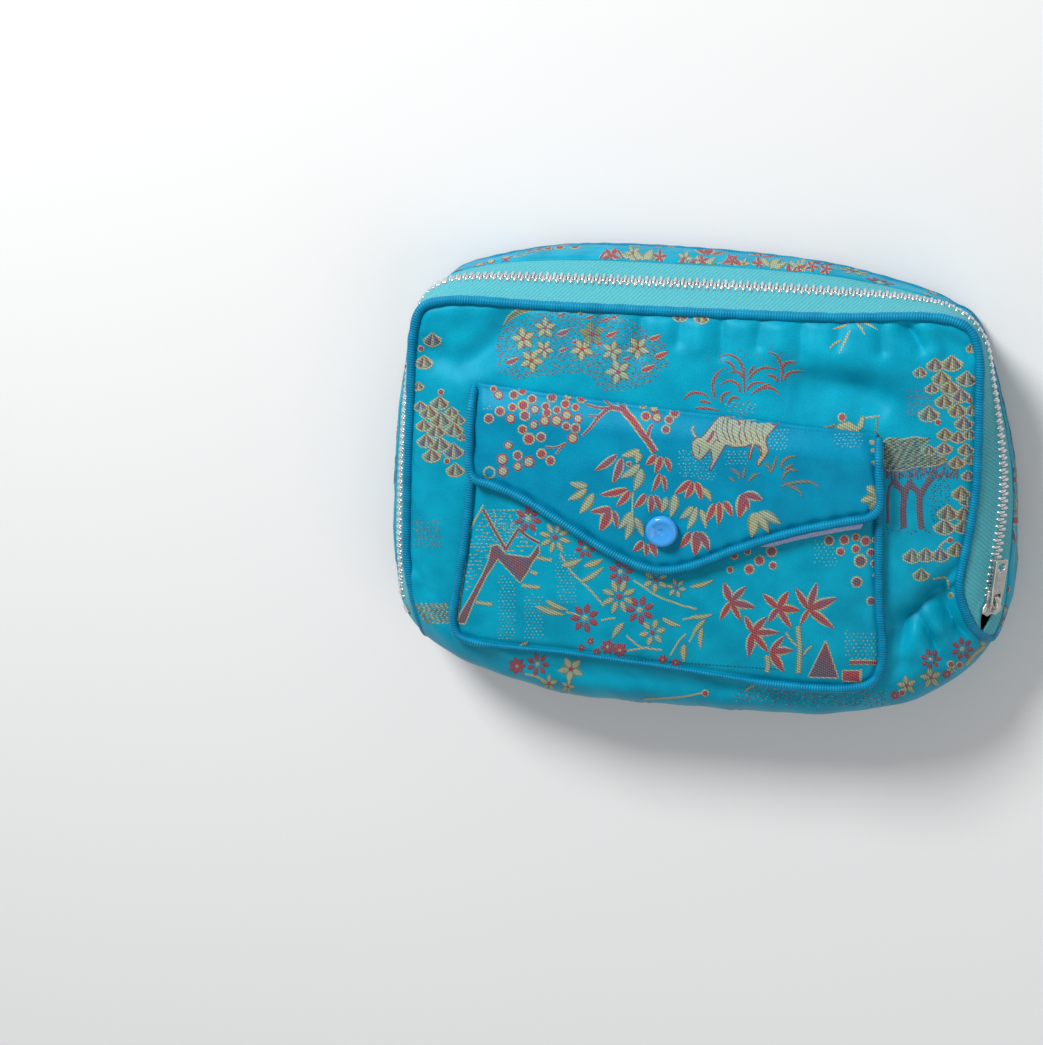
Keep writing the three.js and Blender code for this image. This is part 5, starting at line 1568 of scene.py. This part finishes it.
def pavilion(w):
    """A thatched shelter on forked posts, and a figure with a pole."""
    roof = line("882.5 443; 888 438; 902 439.6; 914.7 436.8; 930 439.6; 921.7 446.6; 920.3 455; 933 455;"
                " 944.2 456.5; 947 460.7; 938.6 465; 926 467; 916 466.3; 906.3 469.8; 895 470.5;"
                " 886.7 470.5; 884.6 466.3")
    w.area(roof, "olive", "gold")
    w.stipple(roof, 3.4, ["gold", "dark", "gold", "dull"], 4.2, 0.9, 11, 0.15, 0.9, -1.4, up=0.1)
    w.stipple(line("885 466; 945 463; 958 468; 958 479; 885 479"), 2.6, ["dull", "red", "dark"],
              1.0, 3.4, 12, 0.2, 0.85)
    for text in ("903.5 528; 903 510; 903.5 492; 898 486; 893 479", "904 500; 906 490; 911 481.7",
                 "921.3 528.7; 919.5 510; 918.5 493; 913 487; 908.4 480",
                 "919 500; 923 490; 931.6 477.5"):
        w.stroke(line(text), 6.5, "dull", "dull")
    w.stroke(line("888 524; 888 497; 890 486; 893.7 481.7"), 3.0, "dull")
    w.stipple(line("927 473; 950 473; 950 522; 932 522"), 3.2, ["dull", "dark"], 1.6, 0.9, 13, 0.3, 0.8)
    w.stipple(line("880 526; 935 526; 930 536; 886 536"), 3.2, ["dark", "lilac"], 1.6, 0.9, 14, 0.3, 0.5)
    w.disc(842, 417.3, 4.6, "red", "gold")
    w.area(line("834.7 428.9; 838.9 423.6; 849.4 421.5; 856.8 426.8; 861 416.3; 864.6 416.3;"
                " 863.1 426.8;"
                " 857.8 432; 847.3 432"), "gold", "olive", 3.0, 1.2)
    for text, width in (("823 427.8; 829 427; 834.7 424.7", 2.4),
                        ("865.2 418; 872 417; 879.9 415.9", 2.0),
                        ("876.8 415.2; 876.8 424; 875.7 433", 2.4),
                        ("870.5 437.3; 875.7 433; 881 438.4", 2.4)):
        w.stroke(line(text), width, "gold" if width < 2.2 else "olive")
    for text in ("832.6 329; 841 327; 849.4 322.6", "850.5 329; 845 341; 838.9 354.2",
                  "855.7 321.6; 861 328; 865.2 335.2", "858 322; 868 324; 878 330",
                 "842 340; 834 344; 829 350"):
        w.stroke(line(text), 2.6, "gold", pointed=True)
    for x, y in rows("680.5 316; 701.5 318"):
        w.fan(x, y, 6, "olive")


def lower_edge(w):
    """Figures along the bottom of the front."""
    for x, y, r, red in rows("517 665.8 9 1; 537.7 664.2 12 1; 571 669 13 0; 548.9 683.4 9 0;"
                             " 568 686.5 7 0; 930.7 659.5 11 1; 962.3 649 12 1; 906.8 685.3 10 0;"
                             " 930.7 677.7 11 0; 947 674 5 1; 895 695 5 1; 951.7 669 5 0"):
        w.blossom(x, y, r, 7 if red else 5, "red" if red else "gold", "dull" if red else "olive",
                  "gold" if red else "red", x, full=red and r > 9)
    w.stroke(line("525 674; 535 676; 544 680"), 2.4, "gold")
    w.stroke(line("643.7 699; 680 697; 702.4 693"), 2.0, "gold")
    w.stroke(line("966 665; 975 654; 985 646"), 5.0, "gold", "olive")
    for x, y in rows("705.3 693; 950.8 664; 959.4 665; 902 692.5"):
        w.disc(x, y, 3.8, "red", "gold")
    w.disc(983, 643, 4, "gold", "olive")
    w.stipple(line("734 690; 760 680; 800 677; 850 679; 887 690; 884 706; 800 707; 736 702"), 3.0,
              ["lilac", "aqua", "dull"], 1.8, 0.9, 15, 0.3, 0.8)
    w.stroke(line("746 689.6; 756.3 684.5; 771.6 685.8"), 2.2, "gold")


def plum_and_bamboo(w):
    """The flap: berries, a branch, and bamboo leaves."""
    for x, y, r in rows("493.7 388.9 3.6; 513.8 394.8 5; 522.4 390.8 4.6; 532.1 399.1 5; 523.2 405.5 6;"
                        " 512.4 407.3 4.6; 499.9 411.3 5.4; 489 418.5 5.4; 524.9 415.6 5.7;"
                        " 522.4 429.5 5; 528.9 438.8 6.4; 541.1 437.1 5.4; 551.9 397.5 5.4;"
                        " 545.8 406.5 4.6; 547.1 412.7 5; 556.9 410.1 4.3; 565.5 404.1 5;"
                        " 575.5 407.3 4.3; 581.6 397.5 6; 566.2 426.2 4.6; 575.5 428.1 5.3;"
                        " 517.7 455.3 5.3; 541.5 453.6 5.4; 550.4 460.6 5.3; 642.7 404.4 4.7;"
                        " 645.8 416.2 5.4; 674.5 412.7 5.7; 669.1 419.9 5; 665.9 429.5 5;"
                        " 628.9 463.9 3"):
        w.disc(x, y, r, "red", "gold")
    for x, y, r in rows("498.8 395.1 5; 510.7 418.5 5; 534.9 409.4 5; 533.9 424.8 5; 544.7 420.9 5.4;"
                        " 556.6 420.5 6; 568.4 395.5 5.4; 566.9 415.2 5.4; 578.1 418.7 5;"
                        " 572.7 438.1 5.7; 508.4 445.3 4.7; 502.4 459.2 6; 517.7 466.4 4.7;"
                        " 528.9 461.8 6.2; 503.1 471.1 5.7; 654.5 407.6 5.4; 657 417.6 5.3"):
        w.disc(x, y, r, "gold", "red")
    a = np.linspace(0, 2 * math.pi, 17)[:-1]
    w.stroke(np.column_stack([489.4 + 5.6 * np.cos(a), 472.6 + 5.6 * np.sin(a)]), 2.0, "gold",
             closed=True)
    for text, width in (("620 398; 624 410; 634 422; 641 432; 648 441; 655 452", (9, 8)),
                        ("624 410; 611 408; 600 416; 591 427; 582 436", (7, 2.5)),
                        ("611 408; 600 408; 586 404.5", (3.5, 3)), ("613 407; 608 403; 602 399", (4, 2)),
                        ("600 416; 594 416; 588 415.5", (3, 2)),
                        ("648 436; 650 428; 653 424.5", (5, 3)),
                        ("545.4 446.7; 555.4 447.4; 566.2 443.1", (2.4, 2.4)),
                        ("566.2 443.1; 561 448; 556.2 453.9", (2.4, 2.4))):
        w.stroke(line(text), width, "red", "gold")
    red_leaves = ("617 454.6 595 470.4 6; 622 458 612.8 483 7; 656 454.6 645.8 464.7 6;"
                  " 661 456 655 473 6; 665 457.5 670 471.8 5; 660 473 652 492 5; 663 475.4 665 492 4;"
                  " 627 489 600 494.8 6; 630 490.5 616.4 506.3 6; 611.4 507.7 590.6 511.3 6;"
                  " 610 508.4 600 530.7 9; 613.6 510.6 616.4 527.8 5; 645.8 493.4 634.4 507.7 6;"
                  " 651 494.8 650 513.4 6; 654.5 494.8 660 511.3 5; 643 540.7 633 550.8 6;"
                  " 645.8 543.6 645.8 556.5 5; 649.4 542 656 557 6; 690.6 480.3 674.5 494 6;"
                  " 693 481.8 685.3 498.7 6; 696 481.8 701.3 500 6; 714.3 503.3 706 521.6 6;"
                  " 719 501.7 718.2 524.7 6; 723.5 501 732 516.3 6; 742.7 493.3 738.8 517.8 9;"
                  " 743.4 494 762.6 500 7; 741 494 749.5 509.4 5; 690.6 531.6 680 547.7 6;"
                  " 696 530.8 695 555.3 9; 699 531.6 709 550.7 7")
    gold_leaves = ("640 450 621.5 456 6; 638 451.7 636.5 463 6; 640 464.7 621.5 477.6 7;"
                   " 641.5 469 634.4 490.5 8; 587.7 486 569.8 482.6 6; 587 489 568.4 499.8 6;"
                   " 593.5 493.4 579.8 513.4 7; 630.8 512 618.6 529 6; 632 516.3 625.8 539.3 7;"
                   " 635 517.8 643 536.4 6; 702 488 711.3 501 5; 675.3 494 670.7 517 7;"
                   " 666 497 661.5 512.4 6; 693 506.3 680 518.6 6; 696.7 507 687.6 529.3 6;"
                   " 700.6 509.4 706 528.5 5; 753.4 512.4 751.8 537 9; 755.7 512.4 768.7 533 7;"
                   " 759.5 511.7 780.2 524 7; 866.6 486.4 877.4 497 7; 860.5 501 879 498.7 6;"
                   " 870.5 511 879.7 499.4 7; 869 441 876 446 4; 870 450 878 453 4; 871 462 879 466 4")
    for fill, chart in (("red", red_leaves), ("gold", gold_leaves)):
        for x0, y0, x1, y1, width in rows(chart):
            w.leaf(x0, y0, x1, y1, width * 1.35, fill, "gold" if fill == "red" else "olive", -1.0)
    w.stroke(line("633 492; 632.5 505; 632 518"), 2.0, "gold")
    for n, text in enumerate(("482 406; 494 406; 494 412; 482 412", "677 451; 718 448; 716 480; 680 478",
                              "724 450; 750 448; 748 466; 726 466", "767 427; 790 430; 786 451; 768 448",
                              "833 431; 863 433; 862 448; 834 446")):
        w.stipple(line(text), 3.9, ["aqua", "aqua", "gold"], 1.6, 1.0, 20 + n, 0.15)
    for text in ("729.6 468; 738 473.4; 739.6 480.3", "728.9 477; 732 479; 735 481.8",
                 "743.4 478.8; 744 472; 745.7 466.5", "748 481.8; 753.4 475.7; 760.3 473.4",
                 "770.2 473.4; 773.3 466.5; 777 455.8", "771.7 473.4; 767 465; 764 463.5",
                 "781 469.6; 782.5 462; 788.6 457.3; 797 455.8",
                 "782.5 480.3; 785.5 472.7; 791.6 469.6; 798.5 471",
                 "780 487; 790 483.4; 802.4 481.8; 813 482.6; 820.7 489.5",
                 "782.5 481.8; 791.6 486.4; 799.3 491; 802.4 498", "784 469.6; 788 467; 793 464"):
        w.stroke(line(text), 3.4, "olive", "dull", pointed=True)


def buffalo(w):
    """A grazing buffalo with a saddle cloth."""
    body = line("722 414.5; 727.4 413; 733.5 413; 744.2 414.5; 754.9 416.8; 764 418.3; 770.2 421.4;"
                " 774 425.2; 781 420.6; 774.8 427.5; 771.7 431.3; 767 436; 765.6 442; 768.7 451.2;"
                " 764 459; 758 466.5; 756.4 463.5; 761 454.3; 758 446.6; 755 443.6; 751.8 451.2;"
                " 750 460; 748 459; 750.5 447; 751.8 443.6; 745.7 446.6; 733.5 447.4; 725.8 444.3;"
                " 722 451.2; 716.6 460.4; 710.5 471; 709 469.6; 712.8 460.4; 710.5 448.2; 706 454.3;"
                " 699.8 460.4; 694.4 457.3; 692 449.7; 692 442; 696.7 437.5; 700.6 438.2; 704.4 434.4;"
                " 710.5 426.7; 716.6 419")
    w.area(body, "gold", "dull", 3.0, 1.5)
    w.stroke(line("696 437.5; 692 429.8; 694.4 426"), 3.0, "gold", "red")
    for text, width in (("731 417.5; 735 416.5; 742 418.5", 4.5), ("737 417; 739 421; 739.6 425", 4.0)):
        w.stroke(line(text), width, "red", up=0.08)
    w.stroke(line("713.5 431; 711 437; 707 442"), 4.0, "red", up=0.08)
    for text in ("724 420; 722 430; 727 440", "728 419; 727 429; 731 442", "733 424; 732 433; 736 443",
                 "741 428; 739 436; 742 444", "746 420; 744 430; 747 441", "752 421; 750 430; 753 440",
                 "758 422; 756 431; 760 442", "764 424; 762 432; 764 440", "717 424; 716 432; 719 442",
                 "697 444; 700 448; 699 454", "713 444; 716 440; 720 442", "757 445; 761 448; 762 456",
                 "724 417; 727 416; 731 417", "745 416.5; 752 418.5; 760 420"):
        w.stroke(line(text), 1.5, "dull", up=0.07)


def hut(w):
    """The left of the pocket: a roofed hut seen from its corner, and a lattice screen."""
    w.stroke(line("483.5 504.8; 469 533.5; 464.3 567; 461.2 589.3; 457.2 621"), 2.0, "gold")
    w.area(line("491.5 546; 497.8 544.6; 505.8 554; 529.7 557.4; 539.3 543; 540 552.6; 533 562;"
                " 528 571.7; 520 583; 497.8 559; 493 567; 486.7 576.5; 474 602; 465 624.4; 458 622.8;"
                " 459.6 614.8; 470.7 595.7; 482 575; 488.3 560.6"), "dull", "gold", 3.6, 1.5)
    for text in ("483.5 509.6; 494 529; 505.8 549.4", "518.6 528.7; 512 539; 505.8 549.4",
                 "539.3 543; 527 536; 518.6 528.7"):
        w.stroke(line(text), 4.0, "dull", "gold")
    roof = line("487 508; 500 507; 520 527; 506 546; 498 541")
    for k in range(11):
        y = 510 + 4.5 * k
        w.stipple(np.array([(487, y), (536, y), (536, y + 2), (487, y + 2)]), 4.4, ["gold"], 3.4, 1.2,
                  30 + k, 0.08, 0.85)
        w.stipple(np.array([(487, y + 1), (536, y + 1), (536, y + 3), (487, y + 3)]), 8.0, ["gold"], 1.2,
                  3.2, 130 + k, 0.1, 0.6)
    w.stipple(roof, 4.0, ["aqua", "gold"], 2.4, 0.9, 41, 0.15)
    w.stipple(line("484 512; 496 545; 462 600; 468 560; 471 534"), 4.4, ["gold"], 3.0, 0.9, 42, 0.15,
              0.7)
    for text in ("536 557.4; 544 559; 552 560.3", "530.5 571.7; 534 573; 537.7 573.7",
                 "521.7 585.3; 530 586.5; 540 587.4", "476.3 602; 484 603.5; 492.3 604.4"):
        w.stroke(line(text), 4.4, "gold", "olive")
    for n, text in enumerate(("499 576; 515 576; 515 639; 499 639", "525 594; 544 594; 544 639; 525 639",
                              "556 552; 576 552; 576 602; 556 602")):
        w.stipple(line(text), 3.9, ["aqua", "gold", "aqua"], 1.7, 1.0, 50 + n, 0.05)


def garden(w):
    """Flowers, stems and leaves in the middle of the pocket."""
    for x, y, r in rows("555.2 537.5 16; 619 596.5 17.5; 652.5 632.3 13.5; 655.7 579.7 13;"
                        " 676.4 587.7 10"):
        w.blossom(x, y, r, 6 if r < 14 else 8, "gold", "olive", "red", y, full=True)
    for x, y, r in rows("528 519 14; 585.5 547.8 11; 584.7 618 15; 639.7 610 15; 620.6 571.7 13;"
                        " 607.8 646.7 8; 619.8 649.9 8; 590.3 641 4; 581.5 647.5 4; 596.7 651.5 4;"
                        " 662.8 659.4 5; 675.6 662.6 5"):
        w.blossom(x, y, r, 7, "red", "dull", "gold", y, full=r > 9)
    for x0, y0, x1, y1, width in rows("561.6 565.4 582.3 559 7; 584 566 603 559 7; 580.7 582 604 567 6;"
                                      " 535.3 606 564.8 614.8 7; 545.7 600.4 568 610 6;"
                                      " 623.8 622.8 612.6 638 7; 662 618 681 626 6;"
                                      " 684.4 644 684.4 662 7; 519 646 528 641 5; 690 587 713.6 580 5;"
                                      " 690 617 713 614.4 5; 705.3 619.5 691.3 637 5;"
                                      " 702 628 700.8 649 6"):
        w.leaf(x0, y0, x1, y1, width, "gold", "olive", 1.2)
    for text in ("633.4 579.7; 645 588; 657.3 595.7; 681 605; 697 609",
                 "601.5 620.4; 608 619; 615.8 618",
                 "626 635.5; 641 646.7; 662 650", "627 650.7; 638 649; 649.3 647.5",
                  "682.8 619.6; 690 618; 698.7 617", "670 656; 679.6 640; 686 634",
                 "689 642; 694 634; 698.7 626",
                 "560 553; 570 570; 590 590; 604 606", "566 612; 575 614; 580 616"):
        w.stroke(line(text), 2.0, "gold")


def hem_stitches(w):
    path = line("490 646; 540 652.5; 600 656.5; 660 661; 720 665.5; 782 669.5")
    step = 3.6
    run = run_of(path)
    for start in np.arange(0, run[-1] - step, step):
        ends = [start, start + step * 0.55]
        w.stroke(np.column_stack([np.interp(ends, run, path[:, k]) for k in (0, 1)]), 1.1, "dark")


def maples(w):
    """The right of the pocket: berries, starred leaves on trunks, and a striped tent."""
    for x, y, r in rows("771.6 551.3 6.1; 759.5 560.2 5.7; 749.3 569.1 5.4; 772.9 565.3 4.5;"
                        " 730.2 569.7 3.8; 734.6 555.7 4; 747.4 551.3 4; 829 540.4 5.7; 844.3 539.8 5.4;"
                        " 855.8 537.2 4.5; 865.4 541 5.4; 875.6 539.8 4; 840.5 551.6 4.8;"
                        " 855.8 548.7 4.8; 870.9 552.5 4.5; 860.3 560.8 7; 874.7 563.4 4.5;"
                        " 856.8 581.9 6.1; 870.9 601 4.8; 875.6 575.5 3"):
        w.disc(x, y, r, "dull" if x > 800 and r > 5.5 else "red", "gold")
    w.stipple(line("813 537; 840 548; 838 568; 815 564"), 4.4, ["aqua"], 1.6, 1.3, 60, 0.1)
    w.stipple(line("843 630; 879 632; 878 660; 845 658"), 4.4, ["aqua", "gold"], 1.6, 1.3, 61, 0.1)
    stars = (("730.8 601.6", "723.8 582.5 9.5; 746 586.3 8; 755.7 607.4 9; 720 620 7.5; 741 620.8 7"),
             ("778 608", "762.7 594 8; 788.2 591.4 9; 799.7 610 9.5; 768.4 622 8; 791.4 628.4 8"),
             ("808.6 609.3", "795.2 587.6 8; 816.9 582.5 9; 836.7 597.8 11; 800.3 624.6 6; 834 628.4 9"),
             ("752.5 632.2", "744.8 615.7 7; 766.5 617 9; 779.3 632.2 8; 748.7 656.5 10; 768.4 652 8"),
             ("770.4 651.4", "784.4 636 7; 793.3 650 9; 783.8 671.8 10"))
    for centre, tips in stars:
        (x, y), = rows(centre)
        for x1, y1, width in rows(tips):
            w.leaf(x, y, x1, y1, width, "red", "gold")
    for text, width in (("766.5 655; 768 664; 767 672", 6.0), ("797.8 626; 799.7 647.6; 798.4 673", 6.0),
                        ("785.7 632; 791 640; 797 646.3", 3.0),
                        ("811.8 646.3; 807 650; 803.5 655", 3.0)):
        w.stroke(line(text), width, "gold", "olive")
    w.area(line("825.8 640.5; 838.6 678; 808 677"), "dull", "gold", 3.4, 1.6)
    for k in range(5):
        y = 650 + 5.5 * k
        half = 2.0 + 2.6 * k
        w.stroke([(825.5 - half, y + 3), (825.5, y), (825.5 + half, y + 3)], 1.5, "gold")
    w.stroke(line("849.4 662.2; 863 662; 876.9 662.6"), 5.0, "red", "gold")
    w.area(line("842.4 670.5; 859.6 670.5; 859.6 682; 842.4 681"), "red", "gold", 3.4, 1.4)
    w.stroke(line("861 669; 861 675; 861 682"), 2.2, "gold")


def whole_pattern(w):
    for chart in (blossoms_and_grass, pine_clumps, pavilion, lower_edge, plum_and_bamboo, buffalo, hut,
                  garden, maples):
        chart(w)


front, flap_side, pocket_side = Cloth(front_cloth), Cloth(flap_cloth), Cloth(pocket_cloth)
strip_side, back_side = Cloth(strip_cloth), Cloth(back_cloth)


def figures(name, cloth, place, charts):
    w = Weave(cloth, place)
    for chart in charts:
        chart(w)
    return w.finish(name)


figures("front_figures", front, front.seen, (blossoms_and_grass, pine_clumps, pavilion, lower_edge))
figures("flap_figures", flap_side, flap_side.seen, (plum_and_bamboo, buffalo))
figures("pocket_figures", pocket_side, pocket_side.seen, (hut, garden, maples, hem_stitches))

REPEAT_X, REPEAT_Y = 700.0, 500.0


def on_back(x, y):
    return back_side.laid((REPEAT_X - x) * PIXEL, (REPEAT_Y - y) * PIXEL)


figures("back_figures", back_side, on_back, (whole_pattern,))


def under_front(x, y):
    """The roll below what the photograph shows: the charts go on at the cloth's measure."""
    found = front.laid((x - REPEAT_X) * PIXEL, (REPEAT_Y - 300.0 - y) * PIXEL + 27.0)
    if found is None or np.dot(found[1], CAMERA_PLACE - found[0]) > -20.0:
        return None
    return found


figures("roll_figures", front, under_front, (hut, garden, maples, plum_and_bamboo))

STRIP_REPEAT = 118.0


def strip_chart(w):
    for text, dye in (("600 259; 606 252; 611 257; 617 251; 623 258", "red"),
                      ("790 262; 798.8 266.8; 804 260", "gold"), ("722 266; 731.8 257; 741 266", "red")):
        w.stroke(line(text), 3.4, dye, "gold")
    for x, y, r, red in rows("611 256 9 1; 632.7 253.4 8 0; 659.5 257.4 8 1; 684.9 258.8 8 0;"
                             " 702 261.4 7 1; 731.8 261.4 8 1; 743.9 264 6 0; 758.6 264 8 1;"
                             " 798.8 266.8 7 0; 812 266.8 7 1; 825.6 269.5 7 1"):
        w.blossom(x, y, r, 5, "red" if red else "gold", "gold" if red else "olive", "red", x)


def strip_place(start, level):
    def place(x, y):
        return strip_side.laid(start + (x - REPEAT_X) * PIXEL, level + (y - REPEAT_Y) * PIXEL)

    return place


run_start, run_end = (strip_side.measure[:, 0].min(), strip_side.measure[:, 0].max())
figures("strip_figures", strip_side, strip_side.seen, (strip_chart,))
for n in range(int((run_end - run_start) / STRIP_REPEAT) + 1):
    place = strip_place(run_start + (n + 0.5) * STRIP_REPEAT, 14.0 if n % 2 else 30.0)
    figures(f"strip_figures_{n}", strip_side, place, (garden, maples, plum_and_bamboo))


# Camera, floor and lights.
def camera():
    data = bpy.data.cameras.new("camera")
    data.sensor_fit = "VERTICAL"
    data.sensor_height = 36.0
    data.sensor_width = 36.0
    data.lens = FOCAL / IMAGE_HEIGHT * 36.0
    data.clip_start, data.clip_end = 0.05, 20.0
    obj = added("camera", data)
    matrix = Matrix.Identity(4)
    for k in range(3):
        matrix[k][0], matrix[k][1], matrix[k][2] = SIDEWAYS[k], UPWARDS[k], TOWARDS[k]
        matrix[k][3] = CAMERA_PLACE[k] * MM
    obj.matrix_world = matrix
    bpy.context.scene.camera = obj


def floor():
    size = 6.0
    mesh = bpy.data.meshes.new("floor")
    mesh.from_pydata([(-size, -size, 0), (size, -size, 0), (size, size, 0), (-size, size, 0)], [],
                     [(0, 1, 2, 3)])
    look = Look("floor_paint", 0.85, Specular_IOR_Level=0.2)
    where = look.node("ShaderNodeTexCoord", output="Object")
    tone = look.mixed(look.noise(where, 3.0, 3.0), (0.78, 0.78, 0.78), (0.81, 0.81, 0.805))
    look.set("Base Color", tone)
    mesh.materials.append(look.material)
    obj = added("floor", mesh)
    obj.location = (0, 0, -0.0001)


def area_light(name, place, size, power):
    data = bpy.data.lights.new(name, "AREA")
    data.shape = "DISK"
    data.size = size
    data.energy = power
    obj = added(name, data)
    obj.location = place
    aim = Vector((0, 0, 0.03)) - obj.location
    obj.rotation_euler = aim.to_track_quat("-Z", "Y").to_euler()


camera()
floor()
area_light("key", (-0.5, 0.85, 0.72), 0.36, 15.0)
area_light("fill", (0.65, -0.35, 0.9), 0.9, 2.2)
area_light("back", (0.3, 1.1, 0.35), 0.6, 0.6)
world = bpy.data.worlds.new("room")
world.use_nodes = True
world.node_tree.nodes["Background"].inputs[0].default_value = (0.97, 0.985, 1.0, 1.0)
world.node_tree.nodes["Background"].inputs[1].default_value = 0.36
bpy.context.scene.world = world
bpy.context.scene.view_settings.view_transform = "Standard"
